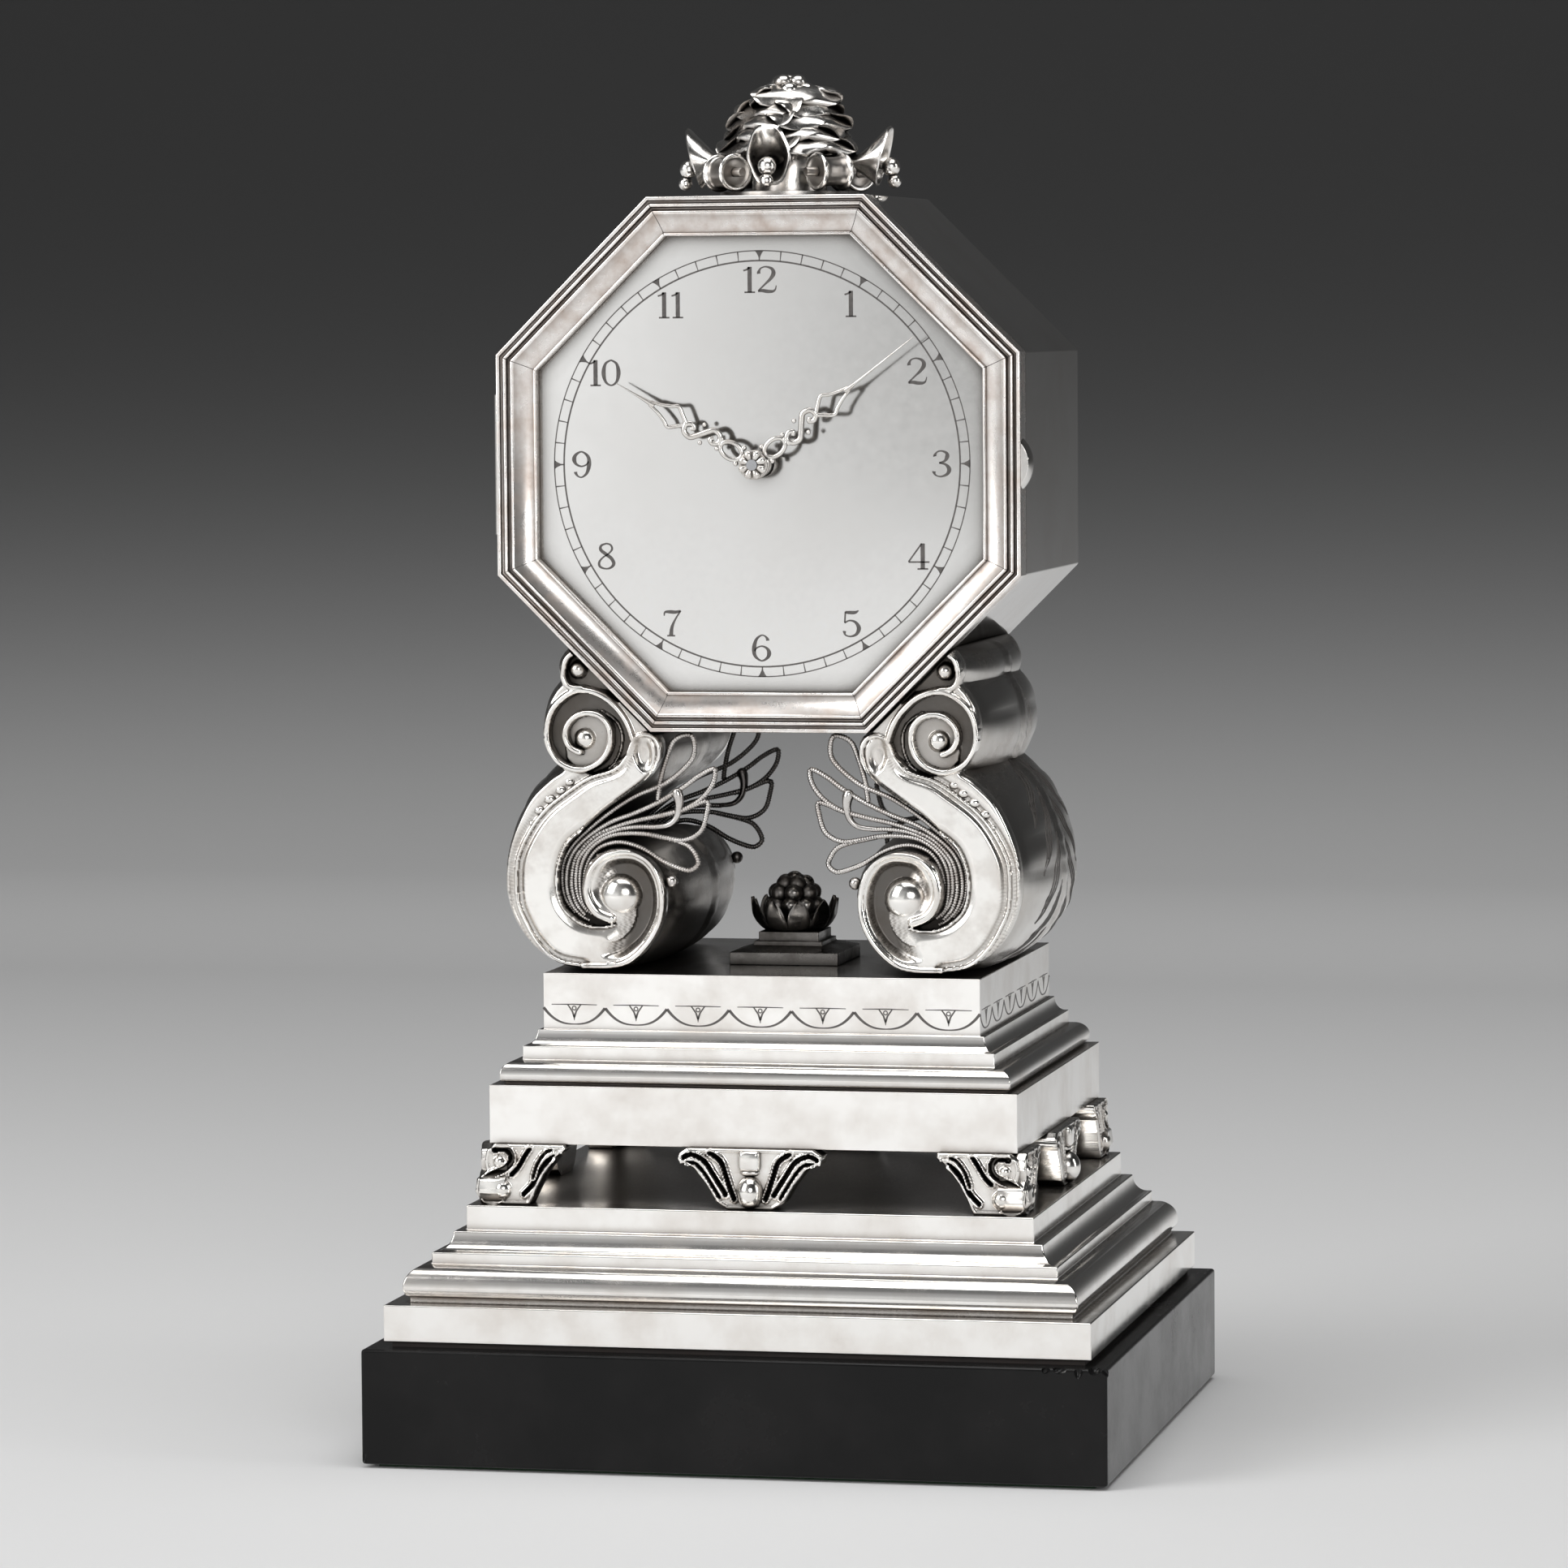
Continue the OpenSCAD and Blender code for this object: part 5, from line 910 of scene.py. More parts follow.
def relief(room, height, low, high, base_y, oxide=None):
    """A closed panel, its front at height above base_y, wherever room (the way to its rim) is positive."""
    grid = 0.24
    columns, rows = int((high[0] - low[0]) / grid) + 1, int((high[1] - low[1]) / grid) + 1
    xs, zs = np.meshgrid(low[0] + grid * np.arange(columns + 1), low[1] + grid * np.arange(rows + 1))
    points = np.stack([xs.ravel(), zs.ravel()], axis=1)
    centres = points + grid / 2
    wide = columns + 1
    inside = room(centres) > 0
    corners = [k for j in range(rows) for k in range(j * wide, j * wide + columns) if inside[k]]
    quads = [(k, k + 1, k + 1 + wide, k + wide) for k in corners]
    sides = dict.fromkeys(pair for quad in quads for pair in zip(quad, quad[1:] + quad[:1]))
    rim = {a: b for a, b in sides if (b, a) not in sides}
    edge = np.array(sorted(rim))
    # The stair-stepped rim is drawn on to the outline
    for _ in range(3):
        value = room(points[edge])
        step = 0.02
        slant = np.stack([room(points[edge] + np.array(move)) - value for move in ((step, 0), (0, step))],
                         axis=1) / step
        size = np.maximum(np.sum(slant ** 2, axis=1, keepdims=True), 0.3)
        move = value[:, None] * slant / size
        points[edge] -= np.clip(move, -grid, grid)
    used = sorted({k for quad in quads for k in quad})
    order = {k: i for i, k in enumerate(used)}
    flat = points[used]
    rise = height(flat)
    verts = [(x, base_y - h, z) for (x, z), h in zip(flat, rise)]
    faces = [tuple(order[k] for k in quad) for quad in quads]
    back = {k: len(verts) + i for i, k in enumerate(edge)}
    verts += [(points[k][0], base_y + 0.25, points[k][1]) for k in edge]
    faces += [(order[b], order[a], back[a], back[b]) for a, b in rim.items()]
    left = dict(rim)
    while left:
        k, loop = next(iter(left)), []
        while k in left:
            loop.append(back[k])
            k = left.pop(k)
        faces.append(tuple(loop[::-1]))
    shades = [*oxide(flat, rise), *[0.0] * len(edge)] if oxide else [0.0] * len(verts)
    return oxide_on(solid(verts, faces), lambda spot: shades[spot.index])


low_rim = eased(on_leg((698, 30, 611, 30, 530, 47, 457, 110, 407, 192, 387, 277, 392, 370, 427, 450, 482,
                        492, 541, 500, 607, 485, 659, 435, 682, 366, 675, 304, 641, 250, 588, 225)), 5)
outer_line = eased(on_leg((498, 957, 516, 903, 568, 841, 673, 803, 774, 731, 844, 670, 900, 593, 947, 493,
                           960, 416, 957, 300, 933, 223, 880, 125, 803, 52, 702, 30)), 5)
lobe_line = eased(on_leg((598, 672, 525, 728, 452, 789, 408, 851, 393, 926, 418, 978, 464, 986, 496, 957,
                          514, 910)), 5)
inner_line = eased(on_leg((693, 595, 761, 533, 796, 441, 802, 356, 784, 279, 741, 227, 689, 196, 623, 189,
                           573, 200)), 5)
trough = inner_line + eased(on_leg((573, 204, 610, 214, 660, 245, 692, 300, 699, 366, 676, 443, 640, 487,
                                    710, 500)), 5)
volute = on_leg((496, 968, 516, 1030, 554, 1091, 605, 1140, 662, 1165, 718, 1165, 770, 1135, 814, 1083, 835,
                 1007, 828, 937, 800, 884, 757, 852, 705, 840, 650, 857, 607, 897, 586, 955, 589, 1016, 621,
                 1059, 664, 1074, 711, 1066, 748, 1032, 763, 987, 752, 945, 729, 922, 705, 912))
volute_line = eased(volute, 4)
volute_floor = volute[:13] + on_leg((650, 820, 590, 842, 530, 900, 500, 940))
inner_floor = volute[14:22] + on_leg((772, 930, 765, 880, 740, 850)) + volute[12:14]
volute_step = eased(on_leg((625, 1082, 570, 1041, 546, 984, 555, 910, 588, 853, 643, 824)), 4)
top_rim = eased(on_leg((729, 1321, 757, 1292, 768, 1238, 760, 1200, 737, 1180, 695, 1175)), 4)
top_floor = on_leg((729, 1321, 757, 1292, 768, 1238, 760, 1200, 737, 1185, 680, 1180, 600, 1160, 550, 1120,
                    520, 1160, 620, 1300))
eye_at, curl_at, disc_at, lobe_at = np.array(on_leg((557, 318, 689, 966, 714, 1251, 457, 905)))
eye_r, curl_r, disc_r, rim_r = 4.7, 2.4, 1.95, 0.68


def leg_height(points):
    edge = signed(points, leg_edge)
    to_outer = near(points, outer_line)[0]
    to_inner = np.minimum(near(points, inner_line)[0], near(points, lobe_line)[0])
    across = to_outer / np.maximum(to_outer + to_inner, 0.01)
    height = 2.5 + 1.25 * np.sin(pi * across) ** 0.9 - 0.35 * np.exp(-((to_outer - 1.2) / 0.6) ** 2)
    to_low, turn = near(points, low_rim)
    to_opening = near(points, [low_rim[-1], low_rim[0]])[0]
    fade = 1 - 0.5 * slope((turn - 0.62) / 0.15)
    bowl = 3.0 * slope((to_low - 0.5) / 2.6) * slope(to_opening / 7.5) * fade
    height -= np.where(within(points, low_rim), bowl, 0)
    lobe = np.hypot(*((points - lobe_at) / (2.5, 4.6)).T)
    height -= 1.5 * slope((1 - lobe) * 1.6)
    height -= 2.9 * slope(signed(points, trough) / 0.6)
    in_volute, in_top = signed(points, volute_floor), signed(points, top_floor)
    height = np.where(in_volute > -0.3, 3.4 - 2.5 * slope((in_volute + 0.3) / 0.6), height)
    height = np.maximum(height, 0.95 + 0.75 * slope(signed(points, inner_floor) / 0.4))
    height = np.where(in_top > -0.2, 3.3 - 2.2 * slope((in_top + 0.2) / 0.6), height)
    rolled = np.sqrt(np.maximum(0, 0.9 ** 2 - np.clip(0.9 - edge, 0, 0.9) ** 2))
    height = np.minimum(height, 1.9 + rolled + 0.45 * slope(edge))
    height = np.clip(height, 0.3, 4)
    height = bead(height, near(points, volute_step)[0], 0.28, 1.6)
    height = bead(height, to_low, rim_r * (1 + 0.7 * slope((turn - 0.7) / 0.25)), 3.95)
    height = bead(height, near(points, lobe_line)[0], 0.5, 3.7)
    height = bead(height, to_outer, 0.38, 3.5)
    height = bead(height, near(points, inner_line)[0], 0.3, 3.35)
    height = bead(height, near(points, volute_line)[0], rim_r, 3.95)
    height = bead(height, near(points, top_rim)[0], 0.62, 3.9)
    for at, radius, top, fullness in ((eye_at, eye_r, 4.2, 0.8), (disc_at, disc_r, 3.4, 0.6),
                                      (curl_at, curl_r, 3.4, 0.6)):
        away = np.hypot(*(points - at).T) / radius
        dome = top * np.sqrt(np.maximum(0, 1 - away ** 2)) ** fullness
        height = np.maximum(height, np.where(away < 1, dome, 0))
    return height


def leg_oxide(points, height):
    """Black in the deep hollows, brown strokes along the outer groove and in the bowl, else bright."""
    to_outer, along = near(points, outer_line)
    strokes = 0.55 + 0.45 * np.sin(along * 640 + 2.2 * np.sin(points[:, 0] * 1.7))
    groove = 0.5 * np.exp(-((to_outer - 1.25) / 0.75) ** 2) * strokes
    ripple = np.sin(points[:, 0] * 5.3 + 2 * np.sin(points[:, 1] * 3.1))
    crackle = 0.5 + 0.5 * ripple * np.sin(points[:, 1] * 6.1)
    bowl = np.where(within(points, low_rim), 0.6 * slope((3.3 - height) / 1.2) * (0.5 + crackle), 0)
    deep = np.where(signed(points, trough) > -0.4, 1.05, 0.88) * slope((2.1 - height) / 1.1)
    deep = np.where(signed(points, inner_floor) > 0.2, 0.5 * slope((2.6 - height) / 0.8), deep)
    return np.clip(np.maximum(np.maximum(deep, groove), np.minimum(bowl, 0.85)), 0, 1)


def leg_room(apothem):
    def room(points):
        side = np.full(len(points), -1e9)
        for k in range(8):
            angle = radians(45 * k)
            out = points[:, 0] * cos(angle) + (points[:, 1] - dial_z) * sin(angle)
            side = np.maximum(side, out - apothem)
        return np.minimum(signed(points, leg_edge), side)
    return room


# A string of beads along the outer edge of each face, below the upper volute
edge_beads = ((42.0, 143.6, 1.15), (43.9, 141.8, 1.25), (46.3, 139.8, 1.3), (48.6, 137.4, 1.2),
              (50.2, 134.6, 0.85))
for apothem, side in ((57.5, "front"), (56.9, "rear")):
    panel = relief(leg_room(apothem), leg_height, (20, 102), (57, 173.5), floor_y, leg_oxide)
    panel = joined([panel, *(ball((x, floor_y - 2.3, z), r, (1.1, 0.9, 0.85), rings=10)
                             for x, z, r in edge_beads)])
    if side == "rear":
        rear = mirrored(panel, "Y", mid_y)
        bpy.data.objects.remove(panel)
        panel = rear
    other = mirrored(panel, "X")
    for piece, hand_side in ((panel, "right"), (other, "left")):
        keep(smooth(piece, 60), "chased_face_%s_%s" % (side, hand_side), cast_finish, "stand", "cast_silver",
             "leg_faces_" + hand_side)

# Sprays: five open loops and a budded stem of corded wire that leave the trough of each leg.
# Two fine wires twisted and drawn flat give the cord its slanting ribs; the bud is a polished bead.
loops = [
    (740, 245, 777, 300, 790, 370, 784, 450, 750, 520, 690, 585, 605, 658, 504, 728, 379, 785, 289, 864, 264,
     922, 280, 984, 343, 961, 379, 874, 400, 790, 410, 715),
    (682, 212, 718, 235, 752, 279, 772, 348, 768, 433, 740, 502, 686, 560, 598, 620, 496, 662, 400, 710, 309,
     768, 250, 815, 189, 845, 193, 787, 236, 725, 300, 680, 370, 656),
    (700, 235, 735, 285, 752, 360, 742, 450, 710, 510, 650, 568, 570, 604, 496, 628, 400, 650, 310, 676, 221,
     710, 221, 653, 245, 585, 307, 550, 380, 558, 461, 574, 555, 574, 621, 555, 680, 507, 712, 441, 718, 364,
     706, 281, 670, 240),
    (440, 570, 325, 541, 280, 514, 254, 460, 275, 430, 309, 428, 389, 460, 468, 510, 541, 536, 598, 533, 652,
     505, 690, 441, 703, 360, 694, 300),
    (690, 250, 722, 300, 735, 370, 726, 455, 695, 508, 643, 556, 570, 590, 496, 602, 420, 602)]
bud_shares = (440, 602, 375, 610, 340, 640, 327, 690, 330, 730, 340, 765)
wire_r, wire_y = 0.58, floor_y - 0.7


def corded(points, radius):
    """A corded wire: its radius rises and falls once each pitch along it."""
    pitch = 0.55
    line = [np.array(point, dtype=float) for point in points]
    run = [0.0]
    for a, b in zip(line, line[1:]):
        run.append(run[-1] + float(np.linalg.norm(b - a)))
    stops = np.linspace(0, run[-1], int(run[-1] / pitch * 4) + 1)
    fine = [[float(np.interp(s, run, [p[k] for p in line])) for k in range(3)] for s in stops]
    return wire(fine, [radius * (1 + 0.16 * cos(tau * s / pitch)) for s in stops], sides=1)


pieces = [corded([(x, wire_y, z) for x, z in eased(on_leg(shares), 6)], wire_r) for shares in loops]
bud = eased(on_leg(bud_shares), 6)
growth = [(0, 0.5), (0.3, 0.6), (0.6, 0.9), (0.82, 1.2), (0.93, 1.05), (0.985, 0.55), (1, 0.12)]
pieces.append(wire([(x, wire_y, z) for x, z in bud],
                   [float(np.interp(i / (len(bud) - 1), *zip(*growth))) for i in range(len(bud))], sides=4))
pieces.append(ball((20.05, floor_y - 0.8, 122.3), 1.35))
spray = joined(pieces)
twins = {"front_right": spray, "front_left": mirrored(spray, "X"),
         "rear_right": mirrored(spray, "Y", mid_y)}
twins["rear_left"] = mirrored(twins["rear_right"], "X")
cord_finish = worn("corded silver wire", (0.62, 0.6, 0.58), (0.33, 0.28, 0.25), (0.02, 0.018, 0.016), 0.22,
                   0.3, 0.6, 150, recess=1.2, reach=1.6, grain=0.3, grain_size=1200)
# Painted shade: the rear sprays behind the legs take a near-black copy of the corded wire
shaded_cord = worn("wire in painted shade", (0.16, 0.15, 0.145), (0.06, 0.055, 0.05), (0.008, 0.008, 0.008), 0.25, 0.3,
                 0.6, 150, recess=1.0, reach=0.8)
for side, piece in twins.items():
    finish = shaded_cord if side.startswith("rear") else cord_finish
    keep(smooth(piece, 60), "corded_spray_" + side, finish, "stand", "cast_silver", "spray_" + side)

# Feet: cast and chased silver, soldered between the two tiers.
# Each corner foot is two plates that meet at the corner, with two volutes and a ribbed leaf; each middle
# foot is a spreading lily with a square bead above a ball. Oxide is left in every hollow.
foot_low, foot_h, foot_reach, foot_t = 54.0, 12.9, 20, 5


def on_foot(shares, reach=foot_reach):
    return [(s[0] * reach, foot_low + s[1] * foot_h, *s[2:]) for s in shares]


foot_edge = on_foot(table((90, 0, 0, 200, 20, 420, 130, 560, 110, 720, 130, 900, 210, 1000, 980, 1000, 1000,
                           930, 900, 790, 760, 500, 660, 200, 600, 0)))


def flutes(rows, reach=foot_reach, sides=(1,)):
    """Dark flutes between bright edges: each a line of shares with its half width and depth in mm."""
    return [(eased(on_foot([(side * u, v) for u, v in table(line)], reach), 6), half, depth)
            for side in sides for line, half, depth in rows]


foot_flutes = flutes([
    ((230, 910, 310, 940, 380, 890, 410, 780, 380, 660, 300, 570, 210, 510, 130, 430, 80, 290, 100, 140, 180,
      70, 260, 90), 0.72, 1.5),
    ((410, 500, 490, 640, 550, 800, 610, 940), 0.5, 1.4),
    ((540, 180, 635, 340, 710, 550, 780, 700, 860, 800, 930, 830), 0.55, 1.5),
    ((640, 460, 690, 680, 770, 860, 840, 920), 0.4, 0.7)])


def fluted(points, edge, lines):
    """Height of a foot's plate: a bright rim round its outline and bright edges along each flute."""
    height = np.full(len(points), foot_t + 0.15)
    for line, half, depth in lines:
        away = near(points, line)[0]
        hollow = foot_t + 0.2 - depth * slope((half - away) / 0.4)
        height = np.minimum(height, np.where(away < half, hollow, 99))
        height = bead(height, np.abs(away - half - 0.16), 0.26, foot_t + 0.62)
    return bead(height, np.abs(signed(points, edge) - 0.4), 0.34, foot_t + 0.5)


def foot_height(points):
    height = fluted(points, foot_edge, foot_flutes)
    for u, v, radius, top in ((0.265, 0.705, 1.45, 1.0), (0.3, 0.25, 2.2, 1.7)):
        at = np.array((u * foot_reach, foot_low + v * foot_h))
        dome = np.sqrt(np.maximum(0, 1 - (np.hypot(*(points - at).T) / radius) ** 2))
        height = np.maximum(height, np.where(dome > 0, foot_t - 0.6 + (top + 0.6) * dome, 0))
    return height


plate = relief(lambda points: signed(points, foot_edge), foot_height, (-0.5, foot_low - 0.5),
               (foot_reach + 0.5, foot_low + foot_h + 0.5), foot_t)
foot_x, foot_y, foot_set = 60.2, 54.0, Matrix.Translation((0, 1.5, 0))
swap = Matrix(((0, 1, 0, 0), (1, 0, 0, 0), (0, 0, 1, 0), (0, 0, 0, 1)))
for side, sx, sy in (("front_left", 1, 1), ("front_right", -1, 1), ("rear_left", 1, -1),
                     ("rear_right", -1, -1)):
    place = Matrix.Diagonal((sx, sy, 1, 1)) @ Matrix.Translation((-foot_x, -foot_y, 0))
    front = moved(twin_of(plate), place @ foot_set)
    flank = moved(twin_of(plate), place @ swap @ foot_set)
    keep(smooth(joined([front, flank]), 60), "chased_foot_" + side, cast_finish, "stand", "cast_silver",
         "corner_foot_" + side)
bpy.data.objects.remove(plate)

mid_half = table((-160, 0, -240, 120, -310, 400, -400, 680, -500, 760, -505, 900, -440, 1000))
mid_wide = 30.8
mid_edge = on_foot(mid_half + [(-u, v) for u, v in mid_half[::-1]], mid_wide)
mid_flutes = flutes((
    ((476, 830, 440, 885, 390, 885, 318, 790, 253, 560, 170, 250), 0.55, 1.5),
    ((470, 750, 420, 765, 370, 730, 310, 560, 215, 200), 0.4, 1.2),
    ((280, 930, 205, 800, 170, 580, 140, 360, 110, 180), 0.55, 1.5)), mid_wide, (1, -1))
plate = relief(lambda points: signed(points, mid_edge), lambda points: fluted(points, mid_edge, mid_flutes),
               (-16, foot_low - 0.5), (16, foot_low + foot_h + 0.5), foot_t)
alone()
bpy.ops.mesh.primitive_cube_add(size=1, location=(0, 0.2 * MM, 64.4 * MM),
                                scale=(4.6 * MM, 3.4 * MM, 4.4 * MM))
square_bead = modify(bpy.context.object, "BEVEL", width=0.9 * MM, segments=4)
low_ball = ball((0, 0, foot_low + 3.7), 2.85, (1, 1.1, 1.25))
disc = ball((0, 0.6, foot_low + 7.9), 1.9, (1.3, 0.9, 0.5))
plate = joined([plate, square_bead, low_ball, disc])
for side, turn, out in (("front", 0, 52.5), ("rear", 180, 52.5), ("left", -90, 58.7), ("right", 90, 58.7)):
    foot = moved(twin_of(plate), Matrix.Rotation(radians(turn), 4, "Z") @ Matrix.Translation((0, -out, 0)))
    keep(smooth(foot, 60), "lily_foot_" + side, cast_finish, "stand", "cast_silver", "mid_foot_" + side)
bpy.data.objects.remove(plate)

# Engraved band: cusped arcs with a small notch and bead over each, round the foot of the top block.
# The lines are cut by hand and hold dark oxide, so they are drawn as hair-thin dark strips on the silver.
band_tall, band_high, block_half = 4.2, 95.9, 47.65


def band(length, count):
    """Lines of (along, height, width) for one side of the block."""
    lines, pitch = [], length / count
    for i in range(count):
        middle = (i + 0.5) * pitch - length / 2
        arcs = [(s * pitch * 0.497, -(band_tall - (band_tall - 0.7) * abs(s) ** 2.6), 0.24 + 0.36 * abs(s))
                for s in (k / 10 for k in range(-10, 11))]
        eye = [(0.42 * cos(tau * k / 10), -0.75 + 0.42 * sin(tau * k / 10), 0.22) for k in range(10)]
        for line, closed in (
            (arcs, False), ([(-5, 0, 0.14), (0, 0.05, 0.26), (5, 0, 0.14)], False),
            ([(-1.45, 0, 0.25), (-0.45, -1.4, 0.35), (0, -2.7, 0.42)], False),
            ([(1.45, 0, 0.25), (0.45, -1.4, 0.35), (0, -2.7, 0.42)], False),
            (eye, True), ([(0, -2.4, 0.45), (0, -3.4, 0.1)], False),
        ):
            lines.append(([(middle + u, band_high + v, width) for u, v, width in line], closed))
    return lines


strips = []
for turn in (0, 180, 90, -90):
    half, far_out, count = block_half, block_half - depth_less, 7
    if abs(turn) == 90:
        half, far_out, count = far_out, half, 6
    strip = inked(band(2 * half, count), lambda u, v, out: (u, -far_out - out, v))
    strips.append(moved(strip, Matrix.Rotation(radians(turn), 4, "Z")))
keep(joined(strips), "engraved_band", ink_finish, "stand", "oxidised_silver")

# Ornament: a small stepped pedestal with a calyx of ten pointed leaves round a heap of berries.
# It is oxidised almost black; the edges of the steps and the leaf tips are rubbed bright.
dark_finish = worn("oxidised silver", (0.2, 0.19, 0.18), (0.07, 0.062, 0.056), (0.008, 0.008, 0.008), 0.24,
                   0.3, 0.9, 160, recess=1.0, reach=2.5, grain=0.4)


def leaf(path, widths, thick, cup, sides=14, wave=0.0, ruffle=0.0):
    """A closed leaf along (out, up) points: cup lifts the edges, wave twists them, ruffle frills the tip."""
    verts = []
    count = len(path)
    for i, (out, up) in enumerate(path):
        ahead, behind = path[min(i + 1, count - 1)], path[max(i - 1, 0)]
        tangent = Vector((ahead[0] - behind[0], ahead[1] - behind[1])).normalized()
        normal = Vector((-tangent.y, tangent.x))
        for k in range(sides):
            angle = tau * k / sides
            across = widths[i] * cos(angle)
            rise = thick[i] * sin(angle) + cup * (cos(angle) ** 2) * (i / count)
            rise += wave * cos(angle) * sin(3 * i / count * pi)
            rise += ruffle * sin(4.2 * cos(angle) + 0.8) * i / count
            verts.append((across, -(out + normal.x * rise), up + normal.y * rise))
    return solid(verts, skinned(count, sides))


def round_axis(piece, count, first):
    """count copies of a piece made at the front, turned about the upright line amid the legs."""
    middle = Matrix.Translation((0, mid_y, 0))
    turns = [radians(first + 360 * i / count) for i in range(count)]
    copies = [moved(twin_of(piece), middle @ Matrix.Rotation(turn, 4, "Z")) for turn in turns]
    bpy.data.objects.remove(piece)
    return copies


def about_axis(radius, turn, height):
    """The point at a radius from that line, turned and at a height."""
    return (radius * cos(turn), mid_y + radius * sin(turn), height)


dress("ornament_pedestal", dark_finish, "stand", "oxidised_silver", edge=0.18)
calyx_low = 109.5
leaf_path = eased([(4.6, calyx_low), (6.8, calyx_low + 0.9), (8.4, calyx_low + 3.0), (8.9, calyx_low + 5.2),
                   (9.3, calyx_low + 7.0)], 4)
leaf_width = [1.2 + 1.35 * sin(pi * min(1, 0.12 + 0.92 * i / 16)) ** 0.8 - 1.15 * (i / 16) ** 4
              for i in range(17)]
leaves = round_axis(leaf(leaf_path, leaf_width, [0.75 - 0.5 * i / 16 for i in range(17)], -0.5), 10, 18)
keep(smooth(joined(leaves), 60), "calyx_leaves", dark_finish, "stand", "oxidised_silver", "ornament_calyx")
berries = [ball((0, mid_y, 115.0), 4.4)]
random.seed(7)
for count, rise, first in ((8, -4, 0), (7, 28, 22), (5, 58, 8), (1, 90, 0)):
    for i in range(count):
        turn, lift = radians(first + 360 * i / count), radians(rise)
        spot = about_axis(4.5 * cos(lift), turn, 115.2 + 4.9 * sin(lift))
        berries.append(ball(spot, 1.95 + 0.12 * random.random(), rings=12))
keep(smooth(joined(berries), 60), "berry_heap", dark_finish, "stand", "oxidised_silver", "ornament_berries")

# Finial: a disc with four ringed barrels and four open horns under a cone of waved petals and berries.
# All is cast and chased silver, soldered together; the hollows hold black oxide and the edges shine.
finial_finish = worn("oxidised cast silver", (0.9, 0.885, 0.86), (0.55, 0.48, 0.42), (0.02, 0.018, 0.016),
                     0.17, 0.28, 0.5, 200, recess=1.1, reach=3.4, grain=0.35, grain_size=600, bump=0.00004)
finial_z, finial_h, cone_r, horn_reach = 268.25, 26.6, 14, 22.4
random.seed(11)
core = turned([(0.01, finial_z), (15, finial_z), (15, finial_z + 1.2), (8.2, finial_z + 1.3),
               (7.5, finial_z + 9), (9.2, finial_z + 10), (cone_r * 0.5, finial_z + 15),
               (cone_r * 0.33, finial_z + 21.5), (0.01, finial_z + 22.8)], 48, 0, (0, mid_y, 0), "Z")
pieces = [core]
for share, lift, count in ((0.98, 0.38, 5), (0.88, 0.475, 5), (0.78, 0.57, 4), (0.66, 0.665, 4),
                           (0.54, 0.755, 3)):
    radius, up = share * cone_r, finial_z + lift * finial_h
    path = eased([(radius * 0.3, up + 3.4), (radius * 0.62, up + 2.7), (radius * 0.88, up + 1.2),
                  (radius * 1.04, up - 0.4)], 4)
    spread = radius * 3.9 / count
    widths = [spread * (0.55 + 0.5 * sin(pi * min(1, 0.15 + 0.75 * i / 12))) for i in range(13)]
    widths[11:] = [widths[11] * 0.86, widths[12] * 0.6]
    petal = leaf(path, widths, [0.9 - 0.4 * i / 12 for i in range(13)], -0.9, sides=28, wave=0.4, ruffle=0.8)
    pieces += round_axis(petal, count, random.random() * 90)
    for i in range(count):
        spot = about_axis(radius * 0.93, random.random() * tau, up - 1.3)
        pieces.append(ball(spot, 0.9 + 0.35 * random.random(), rings=8))
keep(smooth(joined(pieces), 60), "petal_cone", finial_finish, "stand", "cast_silver", "finial_cone")
berries = []
for count, out, up, radius in ((6, 0.3, 0.865, 1.9), (4, 0.16, 0.93, 1.9), (1, 0.0, 0.948, 1.42)):
    for i in range(count):
        spot = about_axis(out * cone_r, radians(360 * i / count + 17 * count), finial_z + up * finial_h)
        berries.append(ball(spot, radius, (1.08, 1.0, 0.92), rings=12))
keep(smooth(joined(berries), 60), "crown_berries", finial_finish, "stand", "cast_silver", "finial_berries")
# Each barrel: a drum with a hollow waist and sunk ends between two bright rings, on a rod
half_drum = [(3.05, 0), (3.1, 1.2), (3.22, 2.45), (3.5, 2.66), (3.88, 2.74), (4.1, 3.02), (4.1, 3.38),
             (3.88, 3.66), (3.45, 3.72), (3.0, 3.5), (2.6, 3.25), (1.0, 3.25), (1.0, 6.0), (0.85, 6.2),
             (0.01, 6.2)]
drum_z, drum_out, ring_inside = finial_z + 5.3, 16, 3.4
drum = turned([(r, -y) for r, y in half_drum[:0:-1]] + half_drum, 40, 0, (0, 0, 0), "Y")
oxide_on(drum, lambda spot: 0.62 if hypot(spot.co.x, spot.co.z) < ring_inside * MM else 0.0)
drums = round_axis(moved(drum, Matrix.Translation((drum_out, 0, drum_z))), 4, 45)
keep(smooth(joined(drums), 50), "ringed_barrels", finial_finish, "stand", "cast_silver", "finial_barrels")
horn_rows = eased([(0.335, 0.29, 0.1, 0.05), (0.5, 0.29, 0.13, 0.06), (0.67, 0.285, 0.16, 0.068),
                   (0.83, 0.31, 0.195, 0.17), (0.93, 0.33, 0.212, 0.25)], 5)
inner_rows = eased([(0.945, 0.33, 0.196, 0.232), (0.93, 0.33, 0.18, 0.212), (0.83, 0.31, 0.155, 0.135),
                    (0.72, 0.3, 0.1, 0.045)], 5)
lip_back = 0.07
rings = [(row, lip_back * i / (len(horn_rows) - 1)) for i, row in enumerate(horn_rows)]
rings += [(row, lip_back * max(0, (row[0] - 0.5) / 0.43)) for row in inner_rows]
sides, verts = 32, []
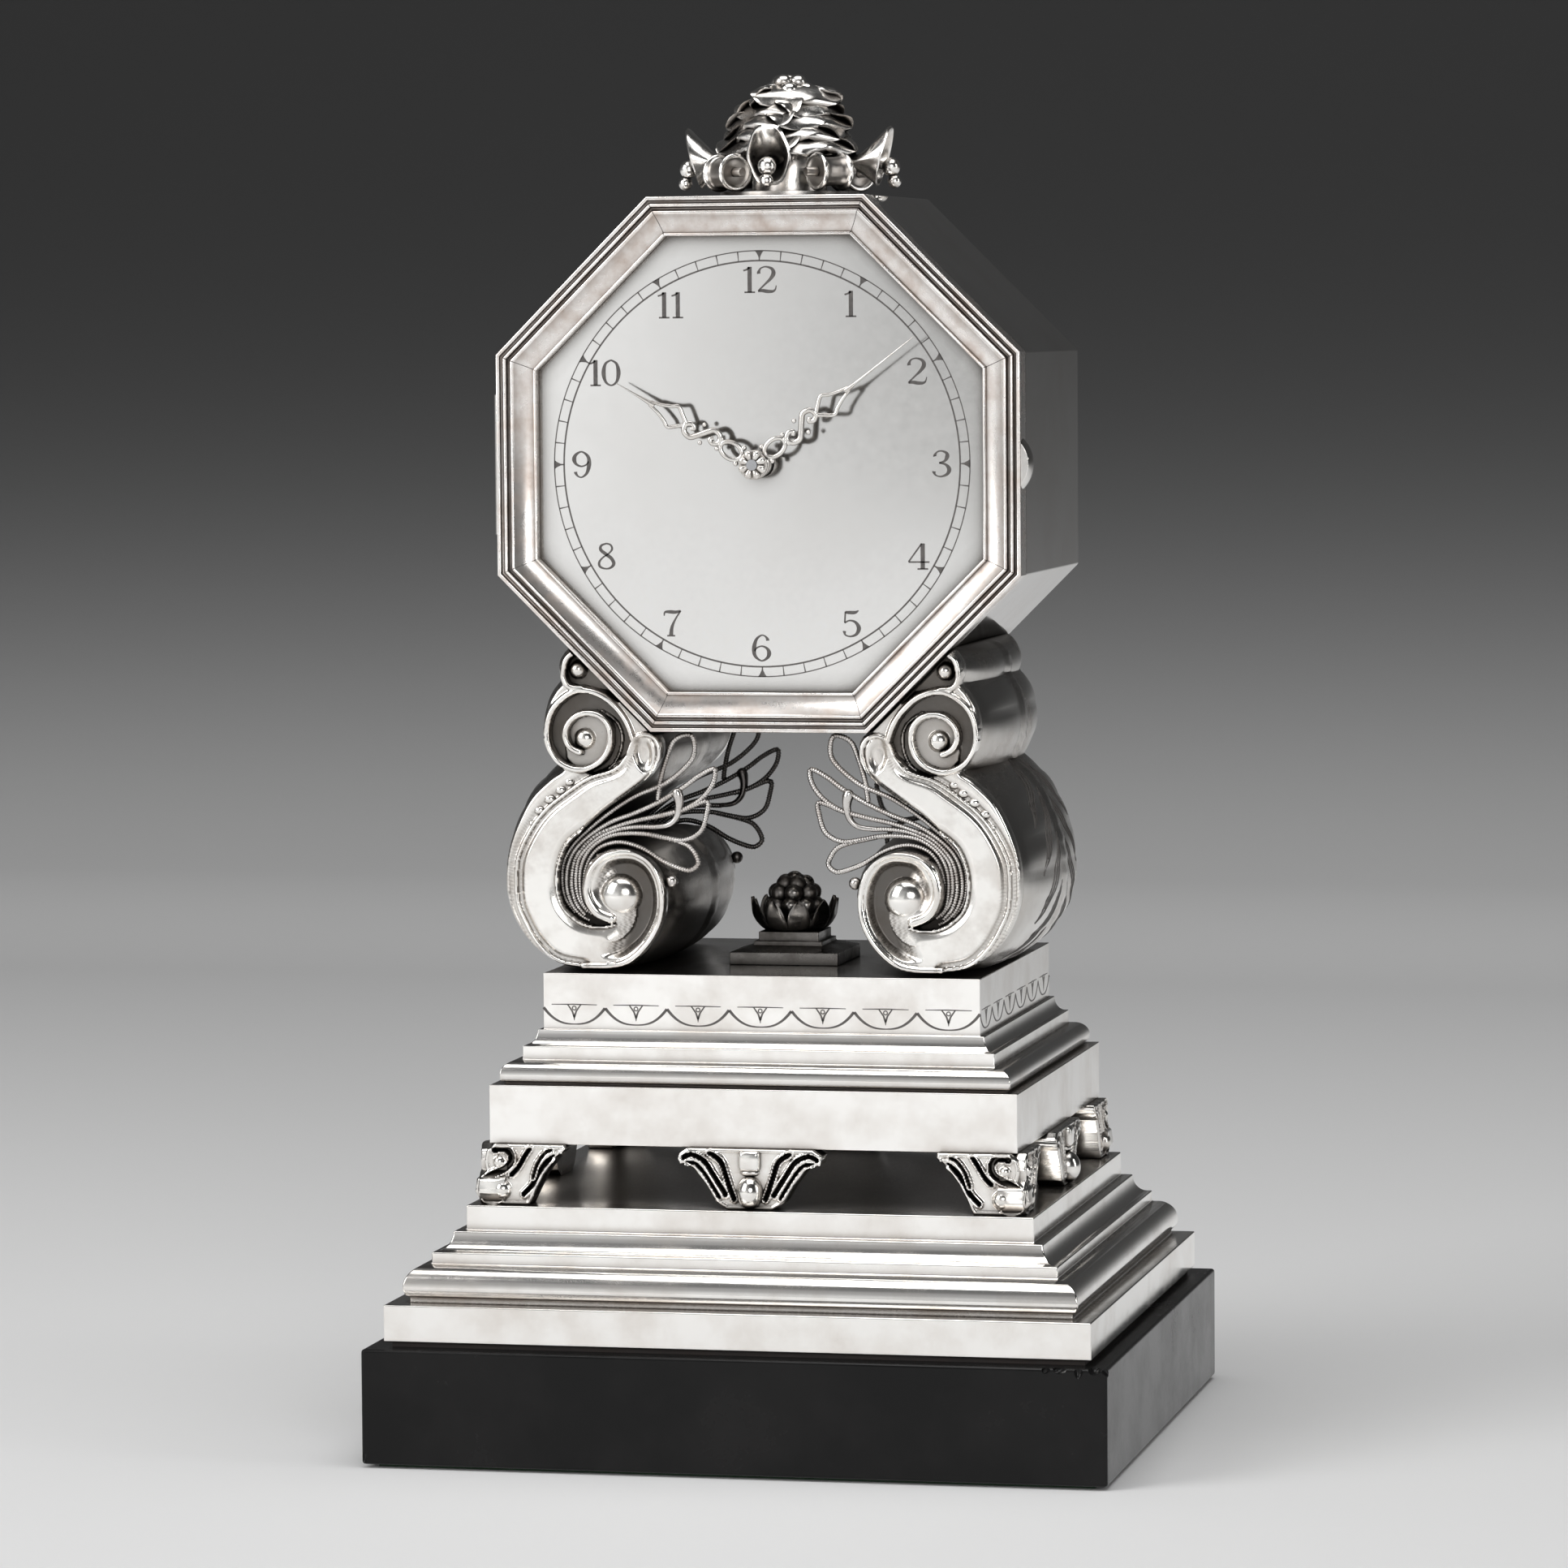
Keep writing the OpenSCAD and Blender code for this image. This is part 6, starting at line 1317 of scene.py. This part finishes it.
for (reach, lift, wide, tall), lip in rings:
    for k in range(sides):
        angle = tau * k / sides
        flute = 1 + 0.03 * cos(6 * angle) * (reach > 0.6)
        verts.append((wide * horn_reach * cos(angle) * flute, -(reach + lip * sin(angle)) * horn_reach,
                      finial_z + finial_h * (lift + tall * sin(angle) * flute)))
drop_z = finial_z + finial_h * 0.24
stalk = [(0, -horn_reach * (0.62 + 0.1 * t), drop_z + 1.6 - 0.4 * t) for t in range(4)]
horn = joined([solid(verts, skinned(len(rings), sides)), ball((0, -horn_reach, drop_z), 2.0),
               ball((0, -horn_reach - 0.75, drop_z - 3.05), 1.5), wire(stalk, [1.2, 1.1, 1.0, 0.9])])
for side, piece in zip(("front", "right", "rear", "left"), round_axis(horn, 4, 0)):
    keep(smooth(piece, 60), "open_horn_" + side, finial_finish, "stand", "cast_silver",
         "finial_leaf_" + side)

# Movement and hidden pieces: these keep their CAD form, with plates and wheels of lacquered brass.
# Arbors, screws and pins are of polished steel; the cores inside the plinths are plain wood.
brass_finish = worn("lacquered brass", (0.75, 0.55, 0.24), (0.5, 0.33, 0.14), (0.08, 0.05, 0.02), 0.22, 0.3,
                    0.4, 90, recess=0.5)
steel_finish = worn("polished steel", (0.5, 0.51, 0.53), (0.3, 0.28, 0.27), (0.04, 0.04, 0.04), 0.2, 0.3,
                    0.4, 90, recess=0.5)
wood_finish = worn("plain core wood", (0.45, 0.3, 0.16), (0.33, 0.2, 0.1), (0.2, 0.12, 0.06), 0.6, 0.2, 0.8,
                   90, metallic=0.0, bump=0.0002)
by_slot = {"silver": silver_finish, "cast_silver": cast_finish, "oxidised_silver": dark_finish,
           "dial_silver": dial_finish, "brass": brass_finish, "steel": steel_finish,
           "core_wood": wood_finish, "blued": hand_finish}
for row in frame["record"]["subparts"]:
    node, slot = row["node"], row["material_slot"]
    if slot in by_slot and not frame["nodes"][node].hide_render and node != "dial_plate":
        # The hour wheel and its pipe, which shows beside the rosette, are silvered
        coat(node, hand_finish if node == "hour_wheel" else by_slot[slot])
